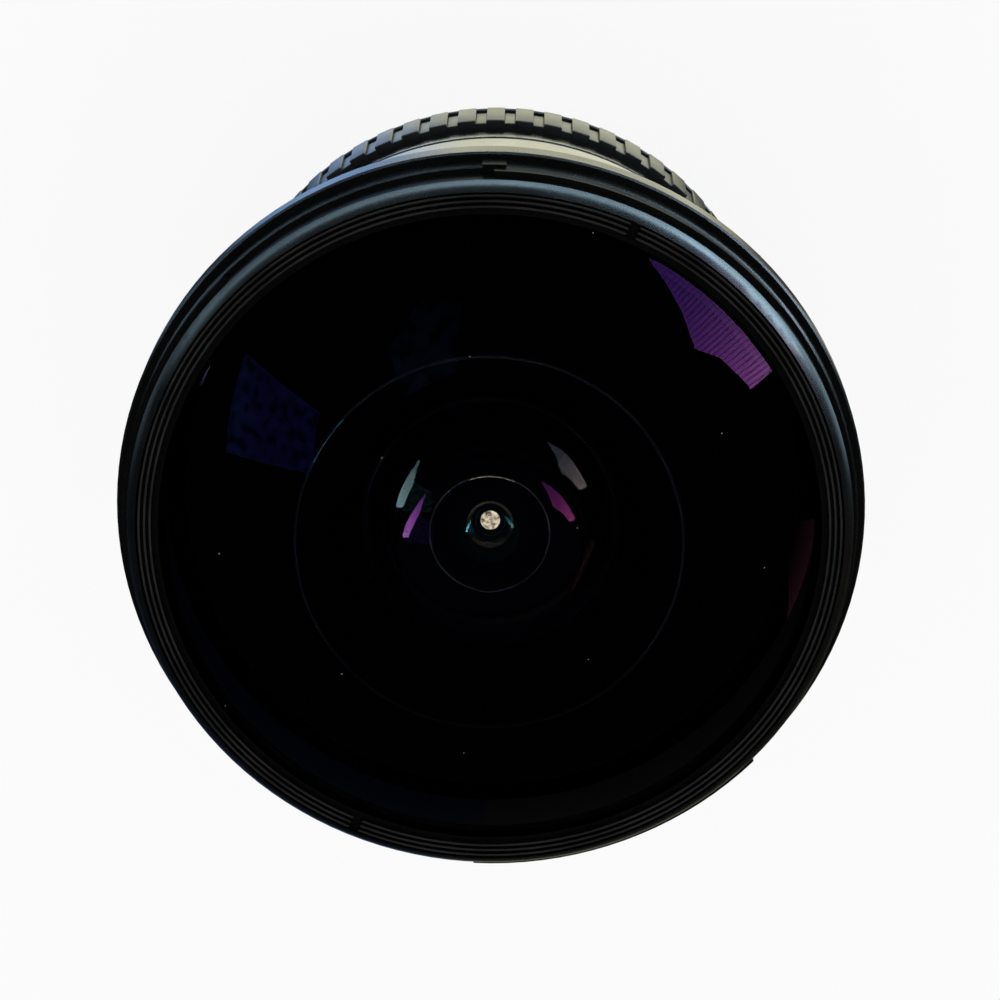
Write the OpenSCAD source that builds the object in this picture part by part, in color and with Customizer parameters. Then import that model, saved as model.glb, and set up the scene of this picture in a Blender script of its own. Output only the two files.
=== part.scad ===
// Circular fisheye lens with a bayonet mount, standing on its mount with the front glass up.
// The optical axis is Z, the origin is the centre of the mount's seat, and index marks face -Y.

/* [Mount] */
// Radius of the open throat through the mount
throat_r = 18; // [17:0.1:18.6]
// Wall of the spigot that enters the camera
spigot_wall = 2; // [1.5:0.1:2.6]
// Length of the spigot behind the seat
spigot_h = 5.2; // [4.4:0.1:7]
// How far each bayonet lug stands out from the spigot
lug_out = 1.4; // [0.8:0.1:1.8]
// Thickness of a bayonet lug along the axis
lug_t = 1.6; // [1:0.1:2.4]
// Angle that each bayonet lug covers
lug_angle = 48; // [30:1:60]
// Width of the relief groove between spigot and seat
relief_w = 2; // [1.9:0.1:2.6]
// Width of the flat seat that meets the camera
seat_w = 3.7; // [3.4:0.1:4.4]
// Thickness of the mount's flange
mount_t = 2.2; // [1.8:0.1:3]
// Radius of a mount screw's shank
mount_screw_r = 0.85; // [0.6:0.05:1]

/* [Rear barrel and rings] */
// Outer radius of the sliding carrier tube
carrier_r = 22; // [21.4:0.1:24]
// Wall of the sliding carrier tube
carrier_wall = 1.8; // [1.4:0.1:2.1]
// Wall of the fixed guide tube around the carrier
guide_wall = 1.94; // [1.5:0.02:2.4]
// Wall of the cam sleeve that turns on the guide tube
sleeve_wall = 1.92; // [1.6:0.02:2.4]
// Wall of the focus ring under its grip
focus_wall = 2.1; // [1.7:0.1:2.8]
// Thickness of the rear barrel's flange behind the aperture ring
rear_flange_t = 3.4; // [3:0.1:4.5]
// Width of the aperture ring
aperture_w = 5.2; // [4.6:0.1:7]
// Height of the aperture ring's wall from bore to rib tops
aperture_wall = 3.1; // [3:0.1:4]
// Number of ribs round the aperture ring
aperture_ribs = 48; // [36:2:60]
// Width of the fixed index ring
index_w = 2.2; // [1.8:0.1:3]
// Width of the distance scale band on the focus ring
scale_w = 3.7; // [3.2:0.1:5]
// Width of the rubber focus grip
grip_w = 6.4; // [5.6:0.1:8]
// Thickness of the grip's rubber below its blocks
grip_base = 0.9; // [0.6:0.05:1.2]
// Height of the grip's wide blocks
block_h = 1.1; // [0.8:0.05:1.4]
// How much lower the narrow blocks between them are
block_step = 0.35; // [0.2:0.05:0.5]
// Number of wide blocks round the grip
grip_blocks = 60; // [48:1:72]
// Width of the fixed collar in front of the focus ring
collar_w = 9.65; // [8.5:0.05:12]
// How far the collar's front edge stands out from the guide tube
collar_out = 6.5; // [5.6:0.1:6.8]
// How much the collar narrows towards the grip
collar_taper = 1.5; // [0.6:0.1:1.8]
// Gap between neighbouring rings along the axis
ring_gap = 0.3; // [0.2:0.05:0.4]
// Gap between the collar and the front barrel at far focus
seam_gap = 0.5; // [0.3:0.05:0.6]

/* [Front barrel] */
// Length of the front barrel from its rear edge to the rim
bell_h = 32.2; // [30:0.1:36]
// Wall of the front barrel
bell_wall = 2; // [1.5:0.1:2.2]
// Thickness of the rim along the axis
rim_t = 2.5; // [2:0.1:4]
// How far the rim stands out from the bayonet lip
rim_out = 0.85; // [0.5:0.05:1.6]
// Height of the cap's bayonet lip above the rim
lip_h = 2.1; // [1.6:0.1:2.6]
// Radial thickness of the cap's bayonet lip
lip_t = 0.7; // [0.5:0.05:1.2]
// Extra height of the three raised lip sectors
lip_step = 1.5; // [0.8:0.1:1.8]
// Angle of each raised lip sector
lip_angle = 50; // [30:1:60]
// Height of the front edge above the rim
front_h = 5.6; // [5.2:0.1:6.6]
// Wall of the front edge around the retaining ring
front_wall = 0.95; // [0.8:0.05:1.3]
// Radius of the crowned bevel on the front edge
front_round = 4.1; // [3:0.1:5]
// Width of the front retaining ring's skirt beside the glass
retainer_w = 1.05; // [0.9:0.05:1.5]
// Number of fine ridges on the front retaining ring
ridge_count = 3; // [2:1:4]

/* [Optics] */
// Radius of the front element's edge
glass_r = 32.8; // [31.5:0.1:34]
// Radius of curvature of the front element's dome
dome_r = 44; // [40:0.5:60]
// Thickness of the front element at its edge
glass_edge = 1.48; // [1.2:0.02:1.8]
// Height of the front element's seat above the rim
glass_seat_h = 2.5; // [2.3:0.1:2.8]
// Radius of curvature of the front element's hollow
hollow_r = 17; // [16.5:0.1:19]
// Radius of the front element's hollow at its rear face
hollow_edge_r = 16.3; // [15.5:0.1:16.4]
// Radius of the second element
second_r = 16; // [15:0.1:17]
// Radius of the cemented pair in front of the iris
pair_r = 8; // [7.2:0.1:9]
// Radius of the fifth element, just in front of the iris
fifth_r = 7; // [6.6:0.1:7.6]
// Radius of the cemented pair behind the iris
rear_pair_r = 7; // [6.6:0.1:7.5]
// Radius of the rear element
rear_glass_r = 7.5; // [7:0.1:8.2]

/* [Iris and movement] */
// Radius of the light path through the iris when wide open
stop_r = 3.6; // [3:0.1:3.9]
// Radius of the circle that the blades pivot on
pivot_r = 9; // [8.8:0.1:9.6]
// Thickness of an iris blade
blade_t = 0.1; // [0.06:0.01:0.14]
// Turn of the aperture ring from wide open to smallest stop
aperture_turn = 60; // [45:1:62]
// Turn of each blade over the same travel
blade_turn = 22; // [16:0.5:23]
// Turn of the focus ring from far to near
focus_turn = 100; // [80:1:104]
// Forward travel of the optical block over that turn
focus_travel = 0.5; // [0.3:0.05:0.8]
// Radius of a cam roller
roller_r = 1.3; // [1.1:0.05:1.5]

/* [Clearances] */
// Radial clearance of parts that turn or slide on each other
running_fit = 0.06; // [0.03:0.01:0.09]
// Clearance of screws and pins in their holes
hole_fit = 0.05; // [0.02:0.01:0.08]
// Clearance of lens elements in their cells
lens_fit = 0.03; // [0.02:0.01:0.06]
// Clearance between a lens and the flat seat or ring that it bears on
seat_fit = 0.02; // [0.01:0.01:0.05]

/* [Hidden] */
$fn = 96;
// A small overlap that lets cutters pass through a surface
cut = 0.5;
// An overlap that joins two shapes of one piece
join = 0.2;
// Chamfer of outer edges
edge_c = 0.2;

// Heights along the axis, from the mount's seat to the rim
rear_flange_z = mount_t;
aperture_z = rear_flange_z + rear_flange_t + ring_gap;
index_z = aperture_z + aperture_w + ring_gap;
focus_z = index_z + index_w + ring_gap;
grip_z = focus_z + scale_w;
grip_lip_t = 0.25;
focus_end_z = grip_z + grip_w + grip_lip_t;
collar_z = focus_end_z + ring_gap;
seam_z = collar_z + collar_w;
bell_z = seam_z + seam_gap;
rim_z = bell_z + bell_h;
roller_z = (focus_z + focus_end_z) / 2;

// Radii of the nested tubes
carrier_in = carrier_r - carrier_wall;
guide_in = carrier_r + running_fit;
guide_r = guide_in + guide_wall;
sleeve_in = guide_r + running_fit;
sleeve_r = sleeve_in + sleeve_wall;
focus_r = sleeve_r + focus_wall;
scale_step = 0.4;
scale_r = focus_r + scale_step;
grip_root_r = focus_r + grip_base;
grip_tip_r = grip_root_r + block_h;
wide_share = 0.63;
grip_rim = 0.5;
grip_rim_drop = 0.1;
pocket_w = 0.9;
aperture_r = sleeve_in + aperture_wall;
aperture_rib = 0.6;
rib_z = 0.5;
rib_share = 0.6;
collar_r = guide_r + collar_out;
bell_r = collar_r;
guide_cap = 1.5;
guide_top = seam_z - guide_cap;
cap_out = 0.5;
collar_land = 1.4;
neck_wall = 0.9;
neck_gap = 0.3;
neck_h = 2.8;
neck_r = bell_r - bell_wall - neck_gap;

// Radii of the mount
spigot_r = throat_r + spigot_wall;
lug_r = spigot_r + lug_out;
seat_in = spigot_r + relief_w;
flange_r = seat_in + seat_w;
rear_flange_r = flange_r + 0.4;
relief_d = 0.6;
mount_screw_ring = (seat_in + flange_r) / 2;
mount_head_r = mount_screw_r + 0.65;
mount_head_t = 0.8;
mount_screw_count = 4;
mount_screw_turn = 45;
baffle_r = throat_r - 6;
baffle_wall = 0.8;
baffle_t = 0.9;
baffle_back = 0.4;
rear_bore = throat_r + 0.6;
head_sink = 0.1;
screw_hold = 2.4;
screw_tip = 0.3;
driver_l = 1.6;
driver_w = 0.32;
driver_d = 0.45;
lock_at = 180;
lock_r = 1;
lock_d = 1.2;

// Radii and heights at the front
glass_gap = 0.1;
skirt_in = glass_r + glass_gap;
retainer_r = skirt_in + retainer_w;
thread_fit = 0.05;
front_bore = retainer_r + thread_fit;
front_r = front_bore + front_wall;
lip_r = front_r + lip_t;
rim_r = lip_r + rim_out;
seat_z = rim_z + glass_seat_h;
seal_t = 0.4;
seal_in = 0.5;
shelf_w = 4;
shelf_in = glass_r - shelf_w;
front_z = rim_z + front_h;
// Crowned bevel of the front edge: its slope at the outside and the inside, and its height
front_slope = 58;
front_slope_in = asin(sin(front_slope) - front_wall / front_round);
crown_h = front_round * (cos(front_slope_in) - cos(front_slope));
// The three raised sectors of the lip start here, counted from +X; the first ends in a stop
lip_starts = [219, 314.5, 87];
lip_back = 0.1;
stop_angle = 3.6;
stop_out = 0.2;
stop_h = 0.2;
shelf_t = 1.6;
bell_in = bell_r - bell_wall;

// Flare of the front barrel's outside, from the barrel to the rim
flare_under = 0.6;
flare_h = 17.4;
flare_to = rim_z - rim_t - flare_under;
flare_from = flare_to - flare_h;
flare_steps = 10;
flare_power = 2.4;

// Retaining ring of the front glass
ring_lip = 0.95;
ring_drop = 0.5;
ring_face_z = front_z - ring_drop;
ring_foot = 0.2;
ring_chamfer = 0.5;
ring_gap_z = 0.12;
ridge_h = 0.4;
ridge_root = 0.22;
ridge_tip = 0.1;
spanner_at = 246;
spanner_w = 1;
spanner_d = 0.2;

// Height of a sphere's cap of radius big_r over a circle of radius r
function sag(big_r, r) = big_r - sqrt(big_r * big_r - r * r);
// How far a flat seat of inner radius r_in stands off the edge of a convex lens of radius r
function seat_drop(big_r, r, r_in) = sag(big_r, r) - sag(big_r, r_in) + seat_fit;

// Front element: flat rear face on its seat, hollow and dome above
dome_top = seat_z + glass_edge + sag(dome_r, glass_r);

// Second element
second_drop = 3.6;
second_z = seat_z - second_drop;
second_edge = 0.98;
second_front_r = 30;
second_back_r = 8.2;
second_hollow = 6.72;

// Cemented pair in front of the iris: third and fourth elements
pair_gap = 3.23;
third_z = second_z - pair_gap;
third_edge = 4.58;
fourth_z = third_z - third_edge;
fourth_edge = 4.15;
third_front_r = 20;
pair_bond_r = 25;
fourth_back_r = 60;
cement_t = 0.02;

// Fifth element
cell_web = 3.7;
fifth_z = fourth_z - fourth_edge - cell_web;
fifth_edge = 2.98;
fifth_face_r = 95;
cell_web_r = fifth_r - 1;
ring_w = 0.8;
pair_back = fourth_z - fourth_edge;
fifth_back = fifth_z - fifth_edge;

// Front cell that holds the elements in front of the iris
cell_wall = 2.2;
cell_r = second_r + cell_wall;
cell_drop = 0.3;
cell_top = seat_z - cell_drop;
cell_tail = 3.06;
cell_z = fifth_z - fifth_edge - cell_tail;
cell_flange_w = 3.3;
cell_flange_r = cell_r + cell_flange_w;
cell_flange_t = 1.8;
cell_screw_ring = (cell_r + cell_flange_r) / 2;
second_bore = second_r + lens_fit;
pair_bore = pair_r + lens_fit;
fifth_bore = fifth_r + lens_fit;
ring_bore = second_r + 1;
lens_gap = 0.1;
funnel_w = 4.5;
funnel_step = 1.2;
funnel_h = 1;

// Web of the front barrel, which joins it to the carrier and holds the front cell
web_t = 2.5;
web_drop = 1.2;
web_z = cell_z - web_drop;
web_gap = 0.1;
carrier_flange_t = 3;
carrier_flange_w = 3;
carrier_flange_r = guide_r + carrier_flange_w;
carrier_tail = 6;
bell_screw_ring = (carrier_flange_r + carrier_r + join) / 2;

// Iris stack, from its top down
blade_count = 6;
iris_drop = 0.8;
iris_top = cell_z - iris_drop;
iris_cover_t = 0.6;
cam_ring_t = 1;
cam_ring_gap = 0.2;
blade_space = 2.4;
iris_base_t = 1;
cam_ring_top = iris_top - iris_cover_t - cam_ring_gap;
cam_ring_z = cam_ring_top - cam_ring_t;
blade_floor = cam_ring_z - blade_space;
iris_z = blade_floor - iris_base_t;
blade_edge = 0.4;
blade_in = stop_r + blade_edge;
blade_out = pivot_r + 1.4;
blade_from = -9;
blade_to = 121;
drive_at = 112;
blade_rise = 0.6;
blade_lift = 0.3;
pin_r = 0.35;
cam_ring_in = stop_r + 1.4;
cam_ring_r = blade_out + 1.4;
iris_in = cam_ring_r + 0.4;
iris_wall = 1.4;
iris_r = iris_in + iris_wall;
blade_ratio = blade_turn / aperture_turn;
cover_seat = 0.7;
pin_floor = 0.15;
pin_gap = 0.1;
pivot = [pivot_r, 0];
tab_w = 4;
tab_out = 1;

// Rear cell that holds the elements behind the iris
rear_flange_cell_t = 1.2;
web_plate_t = 2;
web_plate_top = iris_z - rear_flange_cell_t;
rear_cell_wall = 5;
rear_cell_r = rear_pair_r + rear_cell_wall;
rear_cell_flange_r = iris_r + 0.5;
rear_cell_h = 6;
rear_tail_wall = 2.5;
rear_tail = 1.75;
sixth_drop = 5.45;
sixth_z = iris_z - sixth_drop;
sixth_edge = 5.48;
seventh_z = sixth_z - sixth_edge;
seventh_edge = 1.22;
sixth_front_r = 100;
rear_bond_r = 8;
seventh_back_r = 38;
rear_gap = 7.39;
eighth_z = seventh_z - seventh_edge - rear_gap;
eighth_edge = 2.71;
eighth_front_r = 21.6;
eighth_back_r = 30.2;
seventh_back = seventh_z - seventh_edge;
eighth_back = eighth_z - eighth_edge;
rear_cell_z = eighth_back - rear_tail;
rear_web_r = rear_pair_r - ring_w;
retaining_t = 1.4;

// Aperture lever: an arm from the aperture ring and a rod up to the iris cam ring
rod_out = 2.8;
rod_ring = iris_r + rod_out;
rod_r = 0.9;
rod_at = 90 - aperture_turn / 2;
rod_top = iris_top;
arm_w = 3;
arm_t = 2.2;
arm_z = aperture_z + aperture_w / 2 - arm_t / 2;
arm_gap = 0.3;
arm_in = rod_ring - rod_r - arm_gap;
arm_hold = 1.4;
arm_end = sleeve_in + arm_hold;
arm_play = 5;
lever_thread = 3.4;
ear_out = 1.8;
ear_w = 3.6;
ear_gap = 0.2;

// Small screws
small_screw_r = 0.6;
small_head_r = 1;
small_head_t = 0.7;
bell_screw_r = 0.9;
bell_head_r = 1.6;
bell_head_t = 1;
roller_pin_r = 0.7;
roller_head_t = 0.45;
roller_head_r = 1.1;
roller_play = 0.1;
slot_relief = 0.1;
screw_sink = 0.4;

// Click stop in the rear barrel
ball_r = 0.7;
ball_ring = sleeve_in + 1;
ball_at = 270;
ball_play = 0.04;
dimple_share = 0.5;
spring_play = 0.02;
spring_wire_r = 0.12;
spring_turns = 4;
spring_rings = 8;
spring_sides = 6;
click_stops = 6;

// Colours
black = [0.06, 0.06, 0.07];
satin = [0.1, 0.1, 0.11];
steel = [0.75, 0.75, 0.77];
brass = [0.78, 0.62, 0.3];
glass = [0.3, 0.28, 0.42, 0.6];
rubber = [0.04, 0.04, 0.04];

// A plain tube from height z to z + h
module tube(r_out, r_in, z, h) {
    translate([0, 0, z])
        difference() {
            cylinder(r = r_out, h = h);
            translate([0, 0, -cut]) cylinder(r = r_in, h = h + 2 * cut);
        }
}

// A ring with its outer edges chamfered by c
module ring(r_out, r_in, z, h, c) {
    rotate_extrude()
        polygon([[r_in, z], [r_out - c, z], [r_out, z + c], [r_out, z + h - c],
            [r_out - c, z + h], [r_in, z + h]]);
}

// A sector of a tube between two angles
module sector(r_out, r_in, z, h, from, angle) {
    rotate([0, 0, from])
        rotate_extrude(angle = angle)
            translate([r_in, z]) square([r_out - r_in, h]);
}

// A cylinder along the radius, from r_from to r_to, at an angle and a height
module radial(r, r_from, r_to, at, z) {
    rotate([0, 0, at])
        translate([r_from, 0, z])
            rotate([0, 90, 0]) cylinder(r = r, h = r_to - r_from, $fn = 48);
}

// Copies round the axis
module around(count, from = 0) {
    for (i = [0:count - 1]) rotate([0, 0, from + i * 360 / count]) children();
}

// Outline with teeth of equal pitch, whose tips take a share of the pitch
function toothed(count, r_tip, r_root, share, from) = [
    for (i = [0:count - 1]) for (p = [[-share / 2, r_root], [-share / 2, r_tip],
            [share / 2, r_tip], [share / 2, r_root]])
        let (a = from + (i + p[0]) * 360 / count) p[1] * [cos(a), sin(a)]];

// A lens between the edge heights back_z and front_z. A positive radius of curvature has its centre
// behind the face, so the front bulges out and the back is hollow.
module lens(r, front_z, back_z, front_curve, back_curve, hollow, $fn = 360) {
    front_c = front_curve > 0
        ? front_z - sqrt(front_curve * front_curve - r * r)
        : front_z + sqrt(front_curve * front_curve - r * r);
    back_c = back_curve > 0
        ? back_z - sqrt(back_curve * back_curve - hollow * hollow)
        : back_z + sqrt(back_curve * back_curve - r * r);
    bulge = front_curve > 0 ? sag(front_curve, r) : 0;
    belly = back_curve < 0 ? sag(-back_curve, r) : 0;
    difference() {
        intersection() {
            translate([0, 0, back_z - belly - (belly > 0 ? cut : 0)])
                cylinder(r = r, h = front_z + bulge - back_z + belly
                    + (belly > 0 ? cut : 0) + (bulge > 0 ? cut : 0));
            if (front_curve > 0) translate([0, 0, front_c]) sphere(r = front_curve);
            else translate([0, 0, back_z - 2 * r]) cylinder(r = 2 * r, h = front_z - back_z + 2 * r);
            if (back_curve < 0) translate([0, 0, back_c]) sphere(r = -back_curve);
            else translate([0, 0, back_z]) cylinder(r = 2 * r, h = front_z + bulge - back_z + cut);
        }
        if (front_curve < 0) translate([0, 0, front_c]) sphere(r = -front_curve);
        if (back_curve > 0) translate([0, 0, back_c]) sphere(r = back_curve);
    }
}

// Mount: flange, spigot and three bayonet lugs
module mount_flange() {
    color(steel)
        difference() {
            union() {
                ring(flange_r, throat_r, 0, mount_t, edge_c);
                tube(spigot_r, throat_r, -spigot_h, spigot_h + relief_d);
                around(3, 90) sector(lug_r, spigot_r - join, -spigot_h, lug_t, -lug_angle / 2, lug_angle);
            }
            tube(seat_in, spigot_r, -cut, relief_d + cut);
            around(mount_screw_count, mount_screw_turn) translate([mount_screw_ring, 0, 0]) {
                translate([0, 0, -cut]) cylinder(r = mount_screw_r + hole_fit, h = mount_t + 2 * cut);
                screw_head(hole_fit);
            }
            rotate([0, 0, lock_at]) translate([mount_screw_ring, 0, -cut])
                cylinder(r = lock_r, h = lock_d + cut);
        }
}

// Countersunk head, grown by extra for its hole
module screw_head(extra) {
    face = extra > 0 ? -cut : head_sink;
    rotate_extrude()
        polygon([[0, face], [mount_head_r + extra, face], [mount_head_r + extra, head_sink + join],
            [mount_screw_r + extra, head_sink + mount_head_t], [0, head_sink + mount_head_t]]);
}

module mount_screws() {
    color(steel)
        around(mount_screw_count, mount_screw_turn) translate([mount_screw_ring, 0, 0])
            difference() {
                union() {
                    screw_head(0);
                    translate([0, 0, head_sink]) cylinder(r = mount_screw_r, h = mount_t + screw_hold);
                }
                for (a = [0, 90]) rotate([0, 0, a]) translate([-driver_l / 2, -driver_w / 2, -cut])
                    cube([driver_l, driver_w, cut + driver_d]);
            }
}

// Black funnel inside the mount that keeps stray light off the rear glass
module rear_baffle() {
    color(black)
        rotate_extrude()
            polygon([[throat_r, -spigot_h + baffle_back], [throat_r, mount_t + baffle_t],
                [baffle_r, mount_t + baffle_t], [baffle_r, mount_t],
                [throat_r - baffle_wall, -spigot_h + baffle_back]]);
}

// Rear barrel: the flange behind the aperture ring and the guide tube with its slots
module rear_barrel() {
    flange_top = rear_flange_z + rear_flange_t;
    color(satin)
        difference() {
            union() {
                ring(rear_flange_r, rear_bore, rear_flange_z, rear_flange_t, edge_c);
                tube(guide_r, guide_in, flange_top - join, guide_top - flange_top + join);
            }
            around(mount_screw_count, mount_screw_turn)
                translate([mount_screw_ring, 0, rear_flange_z - cut])
                    cylinder(r = mount_screw_r + hole_fit, h = screw_hold + screw_tip + cut);
            around(3) guide_slot(roller_r + hole_fit);
            sector(guide_r + cut, guide_in - cut, arm_z - arm_gap, arm_t + 2 * arm_gap,
                rod_at - arm_play, aperture_turn + 2 * arm_play);
            rotate([0, 0, ball_at]) translate([ball_ring, 0, rear_flange_z - cut])
                cylinder(r = ball_r + hole_fit, h = rear_flange_t + 2 * cut);
        }
}

// Straight slot with round ends that keeps a roller from turning with the cam sleeve
module guide_slot(half) {
    for (z = [roller_z, roller_z + focus_travel])
        radial(half, guide_in - cut, guide_r + cut, 0, z);
    translate([guide_in - cut, -half, roller_z]) cube([guide_wall + 2 * cut, 2 * half, focus_travel]);
}

// Fixed ring that carries the index for both scales
module index_ring() {
    color(satin)
        difference() {
            ring(aperture_r, guide_r, index_z, index_w, edge_c);
            around(3, 90) radial(small_screw_r + hole_fit, guide_r - cut, aperture_r + cut, 0,
                index_z + index_w / 2);
        }
}

module index_screws() {
    color(steel)
        around(3, 90) radial(small_screw_r, guide_r, aperture_r - screw_sink, 0, index_z + index_w / 2);
}

// Fixed collar in front of the focus ring, with a neck that the front barrel slides over
module collar() {
    shoulder = collar_r - collar_taper;
    cap_in = guide_in + cap_out;
    color(satin)
        rotate_extrude()
            polygon([[guide_r, collar_z], [shoulder - edge_c, collar_z], [shoulder, collar_z + edge_c],
                [shoulder, collar_z + collar_land], [collar_r, seam_z - edge_c],
                [collar_r - edge_c, seam_z], [neck_r, seam_z], [neck_r, seam_z + neck_h],
                [neck_r - neck_wall, seam_z + neck_h], [neck_r - neck_wall, seam_z],
                [cap_in, seam_z], [cap_in, guide_top], [guide_r, guide_top]]);
}

// Click stop: the ball is drawn where the ring's face presses it down
module detent_ball() {
    color(steel)
        rotate([0, 0, ball_at])
            translate([ball_ring, 0, aperture_z - ball_play - ball_r]) sphere(r = ball_r, $fn = 48);
}

// Points round a coil's wire: ring k of the coil
function coil_ring(k, z0, pitch, coil_r) =
    let (a = k * 360 / spring_rings)
    [for (s = [0:spring_sides - 1]) let (b = s * 360 / spring_sides, w = coil_r + spring_wire_r * cos(b))
        [w * cos(a), w * sin(a), z0 + pitch * k / spring_rings + spring_wire_r * sin(b)]];

module detent_spring() {
    z0 = rear_flange_z + spring_wire_r + spring_play;
    z1 = aperture_z - ball_play - 2 * ball_r - spring_wire_r - spring_play;
    count = spring_turns * spring_rings;
    coil_r = ball_r - spring_wire_r - hole_fit;
    points = [for (k = [0:count]) each coil_ring(k, z0, (z1 - z0) / spring_turns, coil_r)];
    last = count * spring_sides;
    sides = [for (k = [0:count - 1]) for (s = [0:spring_sides - 1])
        let (a = k * spring_sides + s, b = k * spring_sides + (s + 1) % spring_sides)
        each [[a, b, a + spring_sides], [b, b + spring_sides, a + spring_sides]]];
    ends = [for (s = [1:spring_sides - 2]) each [[0, s + 1, s], [last, last + s, last + s + 1]]];
    color(steel)
        rotate([0, 0, ball_at]) translate([ball_ring, 0, 0])
            polyhedron(points, concat(sides, ends));
}

// Aperture ring with ribs, a pocket for the lever and click dimples in its rear face
module aperture_ring() {
    rib_root = aperture_r - aperture_rib;
    color(satin)
        difference() {
            union() {
                ring(rib_root, sleeve_in, aperture_z, aperture_w, edge_c);
                translate([0, 0, aperture_z + rib_z])
                    linear_extrude(aperture_w / 2)
                        difference() {
                            polygon(toothed(aperture_ribs, aperture_r, rib_root - join, rib_share, 0));
                            circle(r = rib_root - 2 * join);
                        }
            }
            rotate([0, 0, rod_at]) translate([sleeve_in - cut, -arm_w / 2 - hole_fit, arm_z - hole_fit])
                cube([arm_end - sleeve_in + cut + hole_fit, arm_w + 2 * hole_fit, arm_t + 2 * hole_fit]);
            radial(small_screw_r + hole_fit, sleeve_in, aperture_r + cut, rod_at, arm_z + arm_t / 2);
            for (i = [0:click_stops - 1])
                rotate([0, 0, ball_at - i * aperture_turn / (click_stops - 1)])
                    translate([ball_ring, 0, aperture_z - ball_r * dimple_share])
                        sphere(r = ball_r, $fn = 48);
        }
}

// Arm from the aperture ring and rod up to the iris cam ring
module aperture_lever() {
    color(steel)
        rotate([0, 0, rod_at])
            difference() {
                union() {
                    translate([arm_in, -arm_w / 2, arm_z]) cube([arm_end - arm_in, arm_w, arm_t]);
                    translate([rod_ring, 0, arm_z]) cylinder(r = rod_r, h = rod_top - arm_z, $fn = 48);
                }
                radial(small_screw_r + hole_fit, arm_end - lever_thread - hole_fit, arm_end + cut, 0,
                    arm_z + arm_t / 2);
            }
}

module lever_screw() {
    color(steel)
        radial(small_screw_r, arm_end - lever_thread, aperture_r - aperture_rib - screw_sink, rod_at,
            arm_z + arm_t / 2);
}

// Focus ring: scale band, seat for the grip and a thin front lip
module focus_ring() {
    color(satin)
        difference() {
            rotate_extrude()
                polygon([[sleeve_r, focus_z], [scale_r - edge_c, focus_z], [scale_r, focus_z + edge_c],
                    [scale_r, grip_z], [focus_r, grip_z], [focus_r, grip_z + grip_w],
                    [grip_root_r, grip_z + grip_w], [grip_root_r, focus_end_z], [sleeve_r, focus_end_z]]);
            around(3, 60) radial(small_screw_r + hole_fit, sleeve_r - cut, scale_r + cut, 0,
                focus_z + scale_w / 2);
        }
}

// Rubber grip: wide blocks with lower, narrow ones between them, and a pocket behind each narrow one
module focus_grip() {
    pocket_end = grip_rim + pocket_w;
    color(rubber)
        difference() {
            union() {
                translate([0, 0, grip_z])
                    linear_extrude(grip_w)
                        polygon(toothed(grip_blocks, grip_tip_r, grip_root_r, wide_share, 0));
                translate([0, 0, grip_z]) cylinder(r = grip_tip_r - grip_rim_drop, h = grip_rim);
                translate([0, 0, grip_z + pocket_end])
                    cylinder(r = grip_tip_r - block_step, h = grip_w - pocket_end);
            }
            translate([0, 0, grip_z - cut]) cylinder(r = focus_r, h = grip_w + 2 * cut);
        }
}

// Cam sleeve: its three slots climb as the ring turns and push the rollers forward
module cam_sleeve() {
    color(brass)
        difference() {
            tube(sleeve_r, sleeve_in, focus_z + edge_c, focus_end_z - focus_z - 2 * edge_c);
            around(3) cam_slot(roller_r + hole_fit);
            around(3, 60) radial(small_screw_r + hole_fit, sleeve_in + screw_sink - hole_fit,
                sleeve_r + cut, 0, focus_z + scale_w / 2);
        }
}

// Cutter of one cam slot, from the far end at angle 0 to the near end, with a drilled relief at both
module cam_slot(half) {
    steps = 20;
    r0 = sleeve_in - cut;
    r1 = sleeve_r + cut;
    points = [for (i = [0:steps])
        let (a = -focus_turn * i / steps, z = roller_z + focus_travel * i / steps)
        each [[r0 * cos(a), r0 * sin(a), z - half], [r1 * cos(a), r1 * sin(a), z - half],
            [r1 * cos(a), r1 * sin(a), z + half], [r0 * cos(a), r0 * sin(a), z + half]]];
    sides = [for (i = [0:steps - 1]) for (s = [0:3])
        let (a = 4 * i + s, b = 4 * i + (s + 1) % 4) each [[a, a + 4, b], [b, a + 4, b + 4]]];
    last = 4 * steps;
    polyhedron(points, concat(sides, [[0, 1, 2], [0, 2, 3], [last, last + 2, last + 1],
        [last, last + 3, last + 2]]));
    radial(half + slot_relief, r0, r1, 0, roller_z);
    radial(half + slot_relief, r0, r1, -focus_turn, roller_z + focus_travel);
}

module cam_screws() {
    color(steel)
        around(3, 60) radial(small_screw_r, sleeve_in + screw_sink, scale_r - screw_sink, 0,
            focus_z + scale_w / 2);
}

// Carrier: the sliding tube with a flange for the front barrel and a plate for iris and rear cell
module carrier_tube() {
    tail = roller_z - carrier_tail;
    plate_z = web_plate_top - web_plate_t;
    color(satin)
        difference() {
            union() {
                tube(carrier_r, carrier_in, tail, web_z - tail);
                tube(carrier_flange_r, carrier_in, web_z - carrier_flange_t, carrier_flange_t);
                tube(carrier_in + join, rear_cell_r + hole_fit, plate_z, web_plate_t);
            }
            around(3) radial(roller_pin_r + hole_fit, carrier_in - cut, carrier_r + cut, 0, roller_z);
            around(3, 60) translate([bell_screw_ring, 0, web_z - carrier_flange_t - cut])
                cylinder(r = bell_screw_r + hole_fit, h = carrier_flange_t + 2 * cut, $fn = 48);
            sector(rod_ring + rod_r + arm_gap, rod_ring - rod_r - arm_gap, plate_z - cut,
                web_plate_t + 2 * cut, rod_at - arm_play, aperture_turn + 2 * arm_play);
            around(3, 30) translate([rod_ring, 0, plate_z - cut])
                cylinder(r = small_screw_r + hole_fit, h = web_plate_t + 2 * cut, $fn = 48);
        }
}

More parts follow.
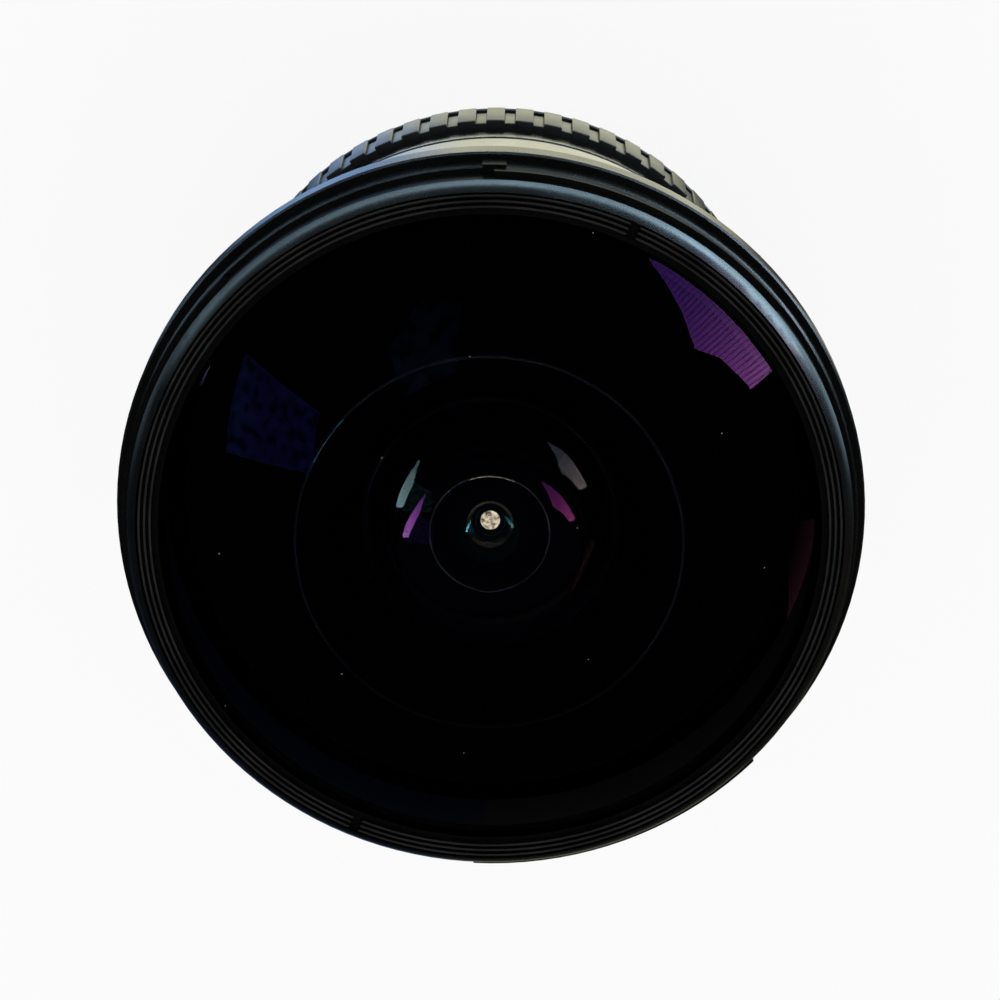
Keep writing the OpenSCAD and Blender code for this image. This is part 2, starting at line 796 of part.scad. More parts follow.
// Rollers that run in the guide slots and the cam slots
module cam_rollers() {
    color(brass)
        around(3) difference() {
            radial(roller_r, carrier_r + roller_play, sleeve_r - roller_head_t - roller_play, 0, roller_z);
            radial(roller_pin_r + hole_fit, carrier_r - cut, sleeve_r + cut, 0, roller_z);
        }
}

module roller_screws() {
    color(steel)
        around(3) {
            radial(roller_pin_r, carrier_in + roller_play, sleeve_r - roller_head_t, 0, roller_z);
            radial(roller_head_r, sleeve_r - roller_head_t - hole_fit, sleeve_r - hole_fit, 0, roller_z);
        }
}

// Outline of the front barrel's outside, as it flares from the barrel to the rim
function flare(k) = [bell_r + (rim_r - flare_under - bell_r) * pow(k, flare_power),
    flare_from + (flare_to - flare_from) * k];

// Front barrel: skirt, flared bell, rim with the cap's bayonet, and the seat of the front glass
module front_barrel() {
    foot_z = front_z - crown_h - edge_c;
    shelf_z = seat_z - seal_t;
    hole_r = cell_r + web_gap;
    color(satin)
        difference() {
            union() {
                rotate_extrude()
                    polygon(concat(
                        [[bell_in, bell_z], [bell_r - edge_c, bell_z], [bell_r, bell_z + edge_c]],
                        [for (i = [0:flare_steps]) flare(i / flare_steps)],
                        [[rim_r, rim_z - rim_t], [rim_r, rim_z - edge_c], [rim_r - edge_c, rim_z],
                        [lip_r, rim_z], [lip_r, rim_z + lip_h - edge_c], [lip_r - edge_c, rim_z + lip_h],
                        [front_r, rim_z + lip_h], [front_r, foot_z],
                        [front_bore, foot_z], [front_bore, shelf_z],
                        [shelf_in, shelf_z], [shelf_in, shelf_z - shelf_t],
                        [bell_in, shelf_z - shelf_t - abs(shelf_in - bell_in)],
                        [bell_in, web_z + web_t], [hole_r, web_z + web_t],
                        [hole_r, web_z], [bell_in, web_z]]));
                front_edge(foot_z - join);
                for (from = lip_starts)
                    sector(lip_r - lip_back, front_r - join, rim_z + lip_h - join, lip_step + join, from,
                        lip_angle);
                sector(lip_r + stop_out, front_r - join, rim_z - join, lip_h + join + stop_h,
                    lip_starts[0] + lip_angle - stop_angle / 2, stop_angle);
            }
            around(3, 60) translate([bell_screw_ring, 0, web_z - cut])
                cylinder(r = bell_screw_r + hole_fit, h = web_t + 2 * cut, $fn = 48);
            around(3) translate([cell_screw_ring, 0, web_z - cut])
                cylinder(r = small_screw_r + hole_fit, h = web_t + 2 * cut, $fn = 48);
        }
}

// Front edge around the retaining ring from height z up: a wall whose top is a crowned bevel
module front_edge(z) {
    intersection() {
        tube(front_r, front_bore, z, front_z - z + cut);
        translate([0, 0, front_z - front_round * cos(front_slope_in)])
            rotate_extrude()
                translate([front_r - front_round * sin(front_slope), 0]) circle(r = front_round, $fn = 96);
    }
}

module barrel_screws() {
    color(steel)
        around(3, 60) translate([bell_screw_ring, 0, 0]) {
            translate([0, 0, web_z - carrier_flange_t + screw_tip])
                cylinder(r = bell_screw_r, h = web_t + carrier_flange_t - screw_tip, $fn = 48);
            translate([0, 0, web_z + web_t]) cylinder(r = bell_head_r, h = bell_head_t, $fn = 48);
        }
}

// Thin rubber seal under the front glass
module front_seal() {
    color(rubber) tube(glass_r - seal_in, shelf_in + seal_in, seat_z - seal_t, seal_t);
}

module front_element() {
    color(glass)
        lens(glass_r, seat_z + glass_edge, seat_z, dome_r, hollow_r, hollow_edge_r);
}

// Height of the dome's face at radius r
function dome_z(r) = dome_top - sag(dome_r, r);

// Ring that holds the front glass, with fine ridges and two notches for a spanner
module front_retaining_ring() {
    lip_in = glass_r - ring_lip;
    face_in = lip_in + ring_chamfer;
    pitch = (retainer_r - face_in) / ridge_count;
    color(satin)
        difference() {
            rotate_extrude() {
                polygon([[skirt_in, seat_z + ring_foot], [retainer_r, seat_z + ring_foot],
                    [retainer_r, ring_face_z], [face_in, ring_face_z], [lip_in, dome_z(lip_in) + edge_c],
                    [lip_in, dome_z(lip_in) + ring_gap_z], [skirt_in, dome_z(glass_r) + ring_gap_z]]);
                for (i = [0:ridge_count - 1])
                    translate([face_in + (i + 0.5) * pitch, ring_face_z - join])
                        polygon([[-ridge_root, 0], [ridge_root, 0], [ridge_tip, ridge_h + join],
                            [-ridge_tip, ridge_h + join]]);
            }
            for (a = [0, 180]) rotate([0, 0, spanner_at + a])
                translate([face_in, -spanner_w / 2, ring_face_z - spanner_d])
                    cube([retainer_r - lip_in, spanner_w, spanner_d + ridge_h + cut]);
        }
}

// Front cell: a stepped black tube for the elements in front of the iris
module front_cell() {
    pair_seat = pair_back - seat_drop(fourth_back_r, pair_r, cell_web_r);
    fifth_seat = fifth_z + seat_drop(fifth_face_r, fifth_r, cell_web_r);
    ring_seat = second_z + second_edge + lens_gap;
    color(black)
        difference() {
            rotate_extrude()
                polygon([[cell_web_r, fifth_seat], [fifth_bore, fifth_seat], [fifth_bore, cell_z],
                    [cell_r, cell_z], [cell_r, web_z + web_t], [cell_flange_r, web_z + web_t],
                    [cell_flange_r, web_z + web_t + cell_flange_t], [cell_r, web_z + web_t + cell_flange_t],
                    [cell_r, cell_top], [ring_bore, cell_top], [ring_bore, ring_seat],
                    [second_bore, ring_seat], [second_bore, second_z],
                    [second_hollow + funnel_w, second_z], [pair_bore + funnel_step, third_z + funnel_h],
                    [pair_bore, third_z], [pair_bore, pair_seat], [cell_web_r, pair_seat]]);
            around(3) translate([cell_screw_ring, 0, web_z])
                cylinder(r = small_screw_r + hole_fit, h = web_t + cell_flange_t + cut, $fn = 48);
        }
}

module cell_screws() {
    top = web_z + web_t + cell_flange_t;
    color(steel)
        around(3) translate([cell_screw_ring, 0, 0]) {
            translate([0, 0, web_z + screw_tip])
                cylinder(r = small_screw_r, h = top - web_z - screw_tip, $fn = 48);
            translate([0, 0, top]) cylinder(r = small_head_r, h = small_head_t, $fn = 48);
        }
}

module second_element() {
    color(glass)
        lens(second_r, second_z + second_edge, second_z, second_front_r, second_back_r, second_hollow);
}

module second_retaining_ring() {
    clear = second_r - ring_w;
    front = second_z + second_edge;
    top = front + sag(second_front_r, second_r);
    color(black)
        rotate_extrude()
            polygon([[clear, top - sag(second_front_r, clear) + lens_gap], [second_r, front + lens_gap],
                [ring_bore - thread_fit, front + lens_gap], [ring_bore - thread_fit, cell_top],
                [clear + ring_chamfer, cell_top]]);
}

module third_element() {
    color(glass) lens(pair_r, third_z, fourth_z, -third_front_r, pair_bond_r, pair_r);
}

// Flat ring that holds the front cemented pair
module third_retaining_ring() {
    color(black)
        rotate_extrude()
            polygon([[pair_r - ring_w, third_z], [pair_bore, third_z],
                [pair_bore + funnel_step - lens_gap, third_z + funnel_h],
                [pair_r - ring_w / 2, third_z + funnel_h]]);
}

module fourth_element() {
    color(glass)
        lens(pair_r, fourth_z - cement_t, pair_back, pair_bond_r, -fourth_back_r, pair_r);
}

module fifth_element() {
    color(glass) lens(fifth_r, fifth_z, fifth_back, fifth_face_r, -fifth_face_r, fifth_r);
}

module fifth_retaining_ring() {
    clear = fifth_r - ring_w;
    drop = seat_drop(fifth_face_r, fifth_r, clear);
    color(black) tube(fifth_r, clear, fifth_back - drop - retaining_t, retaining_t);
}

// Iris housing: a cup with pivot holes, a window for the cam ring's tab and three ears
module iris_housing() {
    ear = rod_ring + ear_out;
    color(black)
        difference() {
            union() {
                tube(iris_r, stop_r, iris_z, iris_base_t);
                tube(iris_r, iris_in, iris_z, iris_top - iris_z);
                around(3, 30) translate([iris_in, -ear_w / 2, iris_z])
                    cube([ear - iris_in, ear_w, iris_base_t]);
                around(3, 30) translate([rear_cell_flange_r + ear_gap, -ear_w / 2, web_plate_top])
                    cube([ear - rear_cell_flange_r - ear_gap, ear_w, iris_z - web_plate_top + join]);
            }
            translate([0, 0, iris_top - iris_cover_t])
                cylinder(r = iris_in + cover_seat, h = iris_cover_t + cut);
            around(blade_count) translate([pivot_r, 0, iris_z + pin_floor])
                cylinder(r = pin_r + hole_fit, h = iris_base_t, $fn = 32);
            sector(iris_r + cut, iris_in - cut, cam_ring_z - arm_gap,
                iris_top - cam_ring_z - iris_cover_t + arm_gap, rod_at - 2 * arm_play,
                aperture_turn + 4 * arm_play);
            around(3, 30) translate([rod_ring, 0, web_plate_top - cut])
                cylinder(r = small_screw_r + hole_fit, h = iris_z - web_plate_top + iris_base_t + 2 * cut,
                    $fn = 48);
        }
}

module iris_screws() {
    top = iris_z + iris_base_t;
    color(steel)
        around(3, 30) translate([rod_ring, 0, 0]) {
            translate([0, 0, web_plate_top - web_plate_t + screw_tip])
                cylinder(r = small_screw_r, h = top - web_plate_top + web_plate_t - screw_tip, $fn = 48);
            translate([0, 0, top]) cylinder(r = small_head_r, h = small_head_t, $fn = 48);
        }
}

module iris_cover() {
    color(black)
        tube(iris_in + cover_seat - hole_fit, cam_ring_in, iris_top - iris_cover_t, iris_cover_t);
}

// Place of a blade's drive pin in the iris after the blade has turned
function turned(p, a) = [p[0] * cos(a) - p[1] * sin(a), p[0] * sin(a) + p[1] * cos(a)];
function drive_pin(a) = pivot + turned(pivot_r * [cos(drive_at), sin(drive_at)] - pivot, a);
// The same place as seen from the cam ring, which has turned by a
function slot_point(a) = turned(drive_pin(a * blade_ratio), -a);

// Iris cam ring: one slot for each blade and a forked tab for the lever's rod
module iris_cam_ring() {
    tab = rod_ring + rod_r + tab_out;
    color(brass)
        translate([0, 0, cam_ring_z])
            difference() {
                union() {
                    cylinder(r = cam_ring_r, h = cam_ring_t);
                    rotate([0, 0, rod_at]) translate([cam_ring_in, -tab_w / 2, 0])
                        cube([tab - cam_ring_in, tab_w, cam_ring_t]);
                }
                translate([0, 0, -cut]) {
                    cylinder(r = cam_ring_in, h = cam_ring_t + 2 * cut);
                    rotate([0, 0, rod_at]) translate([rod_ring, 0, 0]) {
                        cylinder(r = rod_r + hole_fit, h = cam_ring_t + 2 * cut, $fn = 48);
                        translate([0, -rod_r - hole_fit, 0])
                            cube([rod_r + tab_out + cut, 2 * (rod_r + hole_fit), cam_ring_t + 2 * cut]);
                    }
                    around(blade_count) linear_extrude(cam_ring_t + 2 * cut) blade_slot(pin_r + hole_fit);
                }
            }
}

// Outline of a blade's slot: the pin's path, widened by half on each side
module blade_slot(half) {
    steps = 12;
    path = [for (i = [0:steps]) slot_point(aperture_turn * i / steps)];
    normals = [for (i = [0:steps])
        let (d = path[min(i + 1, steps)] - path[max(i - 1, 0)]) [-d[1], d[0]] / norm(d)];
    polygon(concat([for (i = [0:steps]) path[i] + half * normals[i]],
        [for (i = [steps:-1:0]) path[i] - half * normals[i]]));
    translate(path[0]) circle(r = half, $fn = 32);
    translate(path[steps]) circle(r = half, $fn = 32);
}

// Iris blade: a thin strip that climbs from its pivot to its drive pin, so that it passes over the
// pivot end of the next blade
function blade_z(a) = blade_floor + blade_lift + blade_rise * a * blade_count / 360;
module iris_blade(i) {
    steps = 20;
    points = [for (k = [0:steps]) let (a = blade_from + (blade_to - blade_from) * k / steps, z = blade_z(a))
        for (p = [[blade_in, z], [blade_out, z], [blade_out, z + blade_t], [blade_in, z + blade_t]])
            [p[0] * cos(a), p[0] * sin(a), p[1]]];
    sides = [for (k = [0:steps - 1]) for (s = [0:3])
        let (a = 4 * k + s, b = 4 * k + (s + 1) % 4) each [[a, b, a + 4], [b, b + 4, a + 4]]];
    last = 4 * steps;
    drive = drive_pin(0);
    foot = iris_z + pin_floor + pin_gap;
    tip = blade_z(drive_at) + blade_t / 2;
    color(satin)
        rotate([0, 0, (i - 1) * 360 / blade_count]) {
            polyhedron(points, concat(sides, [[0, 2, 1], [0, 3, 2], [last, last + 1, last + 2],
                [last, last + 2, last + 3]]));
            translate([pivot_r, 0, foot])
                cylinder(r = pin_r, h = blade_z(0) + blade_t / 2 - foot, $fn = 32);
            translate([drive[0], drive[1], tip])
                cylinder(r = pin_r, h = cam_ring_top - pin_gap - tip, $fn = 32);
        }
}

// Rear cell: hangs from the carrier's plate and holds the elements behind the iris
module rear_cell() {
    pair_in = rear_pair_r + lens_fit;
    pair_seat = seventh_back - seat_drop(seventh_back_r, rear_pair_r, rear_web_r);
    rear_in = rear_glass_r + lens_fit;
    rear_seat = eighth_z + seat_drop(eighth_front_r, rear_glass_r, rear_web_r);
    tail_r = rear_glass_r + rear_tail_wall;
    neck_z = web_plate_top - rear_cell_h;
    color(black)
        rotate_extrude()
            polygon([[rear_web_r, pair_seat], [pair_in, pair_seat], [pair_in, iris_z],
                [rear_cell_flange_r, iris_z], [rear_cell_flange_r, web_plate_top],
                [rear_cell_r, web_plate_top], [rear_cell_r, neck_z],
                [tail_r, neck_z - rear_cell_r + tail_r], [tail_r, rear_cell_z],
                [rear_in, rear_cell_z], [rear_in, rear_seat], [rear_web_r, rear_seat]]);
}

module sixth_element() {
    color(glass) lens(rear_pair_r, sixth_z, seventh_z, sixth_front_r, rear_bond_r, rear_pair_r);
}

module sixth_retaining_ring() {
    rise = seat_drop(sixth_front_r, rear_pair_r, rear_web_r);
    color(black) tube(rear_pair_r, rear_web_r, sixth_z + rise, retaining_t);
}

module seventh_element() {
    color(glass)
        lens(rear_pair_r, seventh_z - cement_t, seventh_back, rear_bond_r, -seventh_back_r, rear_pair_r);
}

module eighth_element() {
    color(glass)
        lens(rear_glass_r, eighth_z, eighth_back, eighth_front_r, -eighth_back_r, rear_glass_r);
}

module eighth_retaining_ring() {
    clear = rear_glass_r - ring_w;
    drop = seat_drop(eighth_back_r, rear_glass_r, clear);
    color(black) tube(rear_glass_r, clear, eighth_back - drop - retaining_t, retaining_t);
}

mount_flange();
mount_screws();
rear_baffle();
rear_barrel();
index_ring();
index_screws();
collar();
detent_ball();
detent_spring();
aperture_ring();
aperture_lever();
lever_screw();
focus_ring();
focus_grip();
cam_sleeve();
cam_screws();
carrier_tube();
cam_rollers();
roller_screws();
front_barrel();
barrel_screws();
front_seal();
front_element();
front_retaining_ring();
front_cell();
cell_screws();
second_element();
second_retaining_ring();
third_element();
third_retaining_ring();
fourth_element();
fifth_element();
fifth_retaining_ring();
iris_housing();
iris_screws();
iris_cover();
iris_cam_ring();
rear_cell();
sixth_element();
sixth_retaining_ring();
seventh_element();
eighth_element();
eighth_retaining_ring();
for (i = [1:blade_count])
    iris_blade(i);
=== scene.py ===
# %% Load the frame
import math

import bpy
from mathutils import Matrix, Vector


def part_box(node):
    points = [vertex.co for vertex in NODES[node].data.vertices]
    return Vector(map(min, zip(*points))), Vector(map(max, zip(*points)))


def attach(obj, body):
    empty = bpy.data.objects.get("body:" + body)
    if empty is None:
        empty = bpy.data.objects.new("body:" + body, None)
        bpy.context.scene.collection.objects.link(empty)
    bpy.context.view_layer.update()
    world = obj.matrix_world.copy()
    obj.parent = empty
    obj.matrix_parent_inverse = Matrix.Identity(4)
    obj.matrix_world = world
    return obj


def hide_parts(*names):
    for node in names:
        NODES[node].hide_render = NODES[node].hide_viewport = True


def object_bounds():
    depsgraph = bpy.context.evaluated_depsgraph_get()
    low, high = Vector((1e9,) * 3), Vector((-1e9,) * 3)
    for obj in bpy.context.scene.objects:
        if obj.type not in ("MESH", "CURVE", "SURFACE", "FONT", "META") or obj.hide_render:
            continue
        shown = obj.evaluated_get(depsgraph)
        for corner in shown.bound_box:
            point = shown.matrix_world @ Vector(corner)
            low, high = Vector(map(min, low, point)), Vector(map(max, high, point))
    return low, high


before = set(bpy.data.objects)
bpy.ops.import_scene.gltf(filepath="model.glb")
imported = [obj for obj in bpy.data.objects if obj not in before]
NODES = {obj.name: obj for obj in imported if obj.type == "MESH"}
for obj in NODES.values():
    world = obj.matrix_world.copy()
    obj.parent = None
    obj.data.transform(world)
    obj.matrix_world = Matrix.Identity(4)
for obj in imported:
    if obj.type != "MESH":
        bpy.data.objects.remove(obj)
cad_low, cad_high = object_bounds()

MM = 0.001
print("frame:", len(NODES), "nodes, box", [round(v / MM, 2) for v in (*cad_low, *cad_high)], "mm")

# %% [markdown]
# # A circular fisheye lens
# The lens stands on its bayonet mount with the big front glass up, and the optical axis is Z. The frame
# that was just loaded holds every machined piece at its real size. This script gives each piece its
# finish, models the soft rubber grip and the painted marks, and lights the lens as a small studio would.

# %% [markdown]
# ## Writing shaders as sums
# A finish is a small calculation on the place of a point, such as "rougher where this noise is high".
# Dragging nodes by hand is fine for one material, but here there are nearly thirty, so a small class lets
# Python's own operators add the Math nodes, and one method makes any other node.

# %% A wire that does sums, and a tree that makes nodes


class Wire:
    """A value on its way through a node tree. Python's operators add Math nodes to it."""

    def __init__(self, tree, socket):
        self.tree = tree
        self.socket = socket

    def math(self, operation, *values):
        return self.tree.node("ShaderNodeMath", {"operation": operation}, dict(enumerate(values)))

    def __add__(self, other):
        return self.math("ADD", self, other)

    def __radd__(self, other):
        return self.math("ADD", other, self)

    def __sub__(self, other):
        return self.math("SUBTRACT", self, other)

    def __rsub__(self, other):
        return self.math("SUBTRACT", other, self)

    def __mul__(self, other):
        return self.math("MULTIPLY", self, other)

    def __rmul__(self, other):
        return self.math("MULTIPLY", other, self)

    def __truediv__(self, other):
        return self.math("DIVIDE", self, other)

    def __pow__(self, other):
        return self.math("POWER", self, other)

    def __gt__(self, other):
        return self.math("GREATER_THAN", self, other)

    def __lt__(self, other):
        return self.math("LESS_THAN", self, other)

    def larger(self, other):
        return self.math("MAXIMUM", self, other)

    def sine(self):
        return self.math("SINE", self)

    def waves(self, pitch):
        """A sine wave of that pitch along the wire's value."""
        return (self * (2 * math.pi / pitch)).sine()


class Tree:
    """The node tree of a material or of the world, emptied and ready to fill."""

    def __init__(self, owner):
        owner.use_nodes = True
        self.owner = owner
        self.nodes = owner.node_tree.nodes
        self.links = owner.node_tree.links
        self.nodes.clear()

    def node(self, kind, settings=None, sockets=None, out=0):
        """Make a node, link or fill its sockets, and return one of its outputs."""
        made = self.nodes.new(kind)
        for key, value in (settings or {}).items():
            setattr(made, key, value)
        for key, value in (sockets or {}).items():
            if isinstance(value, Wire):
                self.links.new(value.socket, made.inputs[key])
            else:
                made.inputs[key].default_value = value
        return Wire(self, made.outputs[out]) if made.outputs else None

    def outputs(self, wire):
        return [Wire(self, socket) for socket in wire.socket.node.outputs]

    def told_by(self, kind):
        """What a node that takes nothing in tells, by name."""
        return {wire.socket.name: wire for wire in self.outputs(self.node(kind))}

    def place(self):
        """The point's own place in metres, which a texture node gives as its output 3."""
        return self.node("ShaderNodeTexCoord", out=3)

    def xyz(self):
        """x, y, height and distance from the optical axis, in millimetres."""
        x, y, z = self.outputs(self.node("ShaderNodeSeparateXYZ", None, {0: self.place()}))
        x, y, z = x / MM, y / MM, z / MM
        return x, y, z, (x * x + y * y) ** 0.5

    def noise(self, size_mm, detail=2.0):
        """A noise whose blotches are about size_mm across."""
        return self.node("ShaderNodeTexNoise", None,
                         {"Vector": self.place(), "Scale": 1 / (size_mm * MM), "Detail": detail})

    def ramp(self, wire, low, high, first=0.0, last=1.0):
        """A value that goes from first to last while the wire goes from low to high."""
        return self.node("ShaderNodeMapRange", None, {0: wire, 1: low, 2: high, 3: first, 4: last})

    def blend(self, share, first, last):
        """A colour between two colours: inputs 6 and 7 and output 2 of a Mix node are its colours."""
        return self.node("ShaderNodeMix", {"data_type": "RGBA"}, {0: share, 6: first, 7: last}, out=2)

    def scaled(self, colour, factor):
        """A colour made brighter or darker."""
        start = colour if isinstance(colour, Wire) else colour[:3]
        return self.node("ShaderNodeVectorMath", {"operation": "SCALE"}, {0: start, "Scale": factor})

    def added(self, first, second):
        """The sum of two colours."""
        return self.node("ShaderNodeVectorMath", {"operation": "ADD"}, {0: first, 1: second})

    def rays(self):
        """What kind of ray is looking, by name."""
        return self.told_by("ShaderNodeLightPath")

    def bump(self, height, depth_mm, strength=1.0):
        return self.node("ShaderNodeBump", None,
                         {"Strength": strength, "Distance": depth_mm * MM, "Height": height})

    def principled(self, **sockets):
        named = {key.replace("_", " "): value for key, value in sockets.items()}
        return self.node("ShaderNodeBsdfPrincipled", None, named)

    def glowing(self, colour):
        return self.node("ShaderNodeEmission", None, {"Color": colour, "Strength": 1.0})

    def clear(self):
        return self.node("ShaderNodeBsdfTransparent", None, {"Color": grey(1.0)})

    def mix(self, share, first, last):
        return self.node("ShaderNodeMixShader", None, {0: share, 1: first, 2: last})

    def surface(self, shader):
        kind = "World" if isinstance(self.owner, bpy.types.World) else "Material"
        self.node("ShaderNodeOutput" + kind, None, {"Surface": shader})
        return self.owner


def new_tree(name):
    return Tree(bpy.data.materials.new(name))


def grey(value):
    return (value, value, value, 1)


print("helpers: Wire and Tree")

# %% [markdown]
# ## The camera
# The picture looks at the front glass from about 20 degrees off the optical axis, with a long lens from a
# third of a metre away. The place was worked out from the ellipses of the rim and of the rings behind it.

# %% Place the camera
PICTURE = 1000
FOCAL_PX = 3000
SENSOR_MM = 36
NEAREST = 0.01
CAMERA_AT = Vector((-5.23, -100.29, 341.88)) * MM
BACKWARD = -Vector((0.01466, 0.33678, -0.9415)).normalized()
RIGHT = Vector((-0.99994, 0.00494, -0.0138))
RIGHT = (RIGHT - RIGHT.dot(BACKWARD) * BACKWARD).normalized()
UP = BACKWARD.cross(RIGHT)

bpy.ops.object.select_all(action="DESELECT")
bpy.ops.object.camera_add()
camera = bpy.context.object
camera.name = "camera"
camera.data.sensor_width = SENSOR_MM
camera.data.lens = SENSOR_MM * FOCAL_PX / PICTURE
camera.data.clip_start = NEAREST
for row in range(3):
    camera.matrix_world[row][0] = RIGHT[row]
    camera.matrix_world[row][1] = UP[row]
    camera.matrix_world[row][2] = BACKWARD[row]
    camera.matrix_world[row][3] = CAMERA_AT[row]
bpy.context.scene.camera = camera
print("camera at", [round(v / MM) for v in CAMERA_AT], "mm, lens", camera.data.lens)

# %% [markdown]
# ## The floor and the room
# The floor is a plain pale sheet. To the camera it glows a little, so that the background is white while
# the lens still throws its soft shadow. In the picture the black barrel is only seen by what it mirrors: a
# warm patch of floor close in front of it, blue on the left, and slate-blue daylight further out. So the
# floor that polished faces see is coloured by the distance from the lens, and is dim behind it. Under the
# lens it is speckled, which is what the camera sees through the open iris. From below it is clear, so that
# the mount can be looked at. A low wall far off carries the daylight up to the horizon, under everything
# that the dome mirrors, and lights the bevel of the front edge.

# %% Describe the daylight
# A pair is where a change begins and where it ends. Without MM in its name it is a share of the radius:
# x is then 1 at the picture's left and -1 at its right, and y is -1 in front and 1 behind.
SLATE = (0.55, 0.82, 1.0, 1)
LEFT_TO_MIDDLE = (0.8, -0.1)
LEFT_LIGHT = 4.0
MIDDLE_LIGHT = 11.0
MIDDLE_TO_RIGHT = (-0.45, -0.7)
RIGHT_MORE = 11.0
FADES_BEHIND = (-0.35, -0.2)
CLOSE_FADES_BEHIND = (-0.1, 0.15)
CLOSE_ENDS_MM = (350, 420)


def daylight(tree, x, y, radius):
    """How bright the daylight is at a place around the lens: most on the right, none behind.

    Close to the lens it reaches further round, because the dome doesn't mirror the floor there. What the
    inner glass mirrors, seen through the dome, stays dark.
    """
    side = x / radius
    depth = y / radius
    spread = tree.ramp(side, *LEFT_TO_MIDDLE, LEFT_LIGHT, MIDDLE_LIGHT)
    spread = spread + tree.ramp(side, *MIDDLE_TO_RIGHT, 0.0, RIGHT_MORE)
    close = tree.ramp(depth, *CLOSE_FADES_BEHIND, 1.0, 0.0) * tree.ramp(radius, *CLOSE_ENDS_MM, 1.0, 0.0)
    outside = 1 - tree.rays()["Is Transmission Ray"]
    return spread * tree.ramp(depth, *FADES_BEHIND, 1.0, 0.0).larger(close) * outside


print("daylight:", LEFT_LIGHT, "on the left,", MIDDLE_LIGHT + RIGHT_MORE, "on the right")

# %% Colour the floor that mirrors see
WARM = (0.98, 0.97, 0.74, 1)
BLUE = (0.36, 0.58, 1.0, 1)
BLUE_SIDE_MM = (6, 24)
BLUE_STARTS_MM = (30, 36)
PATCH_LIGHT = 1.9
PATCH_STARTS_MM = (26, 32)
PATCH_ENDS_MM = (50, 56)
PATCH_BACK_MM = (-30, -20)
POOL_LIGHT = (0.55, 0.02)
POOL_ENDS_MM = (100, 160)
DARK_SHARE = 0.9
DARK_FROM = (-0.72, -0.62)
DARK_TO = (-0.2, -0.05)
DARK_ENDS_MM = (60, 66)
WEAVE_MM = 0.35
WEAVE_NOISE = (0.35, 0.6)
WEAVE_LIGHT = (0.1, 1.6)
UNDER_ENDS_MM = (18, 22)
FAR_STARTS_MM = (110, 170)
FLOOR_DAYLIGHT = 0.2


def mirrored_floor(tree, x, y, radius):
    """A patch before the lens, a dim pool round it with two dark sides, and daylight far out.

    The pool is woven under the lens, where the camera looks through the iris.
    """
    depth = y / radius
    before = tree.ramp(y, *PATCH_BACK_MM, 1.0, 0.0)
    patch = tree.ramp(radius, *PATCH_STARTS_MM) * tree.ramp(radius, *PATCH_ENDS_MM, PATCH_LIGHT, 0.0)
    dark = tree.ramp(depth, *DARK_FROM) * tree.ramp(depth, *DARK_TO, 1.0, 0.0)
    dark = dark * tree.ramp(radius, *DARK_ENDS_MM, DARK_SHARE, 0.0)
    pool = tree.ramp(radius, *POOL_ENDS_MM, *POOL_LIGHT) * (1 - dark)
    weave = tree.ramp(tree.noise(WEAVE_MM), *WEAVE_NOISE, *WEAVE_LIGHT)
    under = tree.ramp(radius, *UNDER_ENDS_MM, 1.0, 0.0)
    near = (patch * before + pool) * (1 - under + under * weave)
    tint = tree.ramp(x, *BLUE_SIDE_MM) * tree.ramp(radius, *BLUE_STARTS_MM)
    far = tree.ramp(radius, *FAR_STARTS_MM) * daylight(tree, x, y, radius) * FLOOR_DAYLIGHT
    return tree.added(tree.scaled(tree.blend(tint, WARM, BLUE), near), tree.scaled(SLATE, far))


print("mirrored floor: patch", PATCH_LIGHT, "and pool", POOL_LIGHT)

# %% Lay the floor
FLOOR_WIDE = 8
FLOOR_SHARE = 0.86
bpy.ops.object.select_all(action="DESELECT")
bpy.ops.mesh.primitive_plane_add(size=FLOOR_WIDE, location=(0, 0, cad_low.z))
floor = bpy.context.object
floor.name = "floor"
tree = new_tree("floor_paper")
x, y, _, radius = tree.xyz()
rays = tree.rays()
mirrored = rays["Is Glossy Ray"].larger(rays["Is Transmission Ray"])
light = tree.glowing(tree.blend(mirrored, grey(1.0), mirrored_floor(tree, x, y, radius)))
paper = tree.principled(Base_Color=grey(0.8), Roughness=0.9)
sheet = tree.mix((rays["Is Camera Ray"] * FLOOR_SHARE).larger(mirrored), paper, light)
from_below = tree.told_by("ShaderNodeNewGeometry")["Backfacing"]
floor.data.materials.append(tree.surface(tree.mix(from_below, sheet, tree.clear())))
print("floor at", round(cad_low.z / MM, 2), "mm")

# %% Stand up the low wall


def mirrored_only(piece):
    """Leave a piece of the room to mirrors: the camera and soft light don't see it."""
    piece.visible_camera = False
    piece.visible_diffuse = False
    piece.visible_shadow = False


WALL_FAR = 1.0
WALL_HIGH = 0.13
WALL_SIDES = 96
bpy.ops.object.select_all(action="DESELECT")
bpy.ops.mesh.primitive_cylinder_add(vertices=WALL_SIDES, radius=WALL_FAR, depth=WALL_HIGH,
                                    end_fill_type="NOTHING")
low_wall = bpy.context.object
low_wall.name = "low_wall"
for vertex in low_wall.data.vertices:
    vertex.co.z += cad_low.z + WALL_HIGH / 2
tree = new_tree("wall_daylight")
x, y, _, radius = tree.xyz()
shine = tree.scaled(SLATE, daylight(tree, x, y, radius))
low_wall.data.materials.append(tree.surface(tree.glowing(shine)))
mirrored_only(low_wall)
print("low wall", WALL_HIGH / MM, "mm high at", WALL_FAR / MM, "mm")

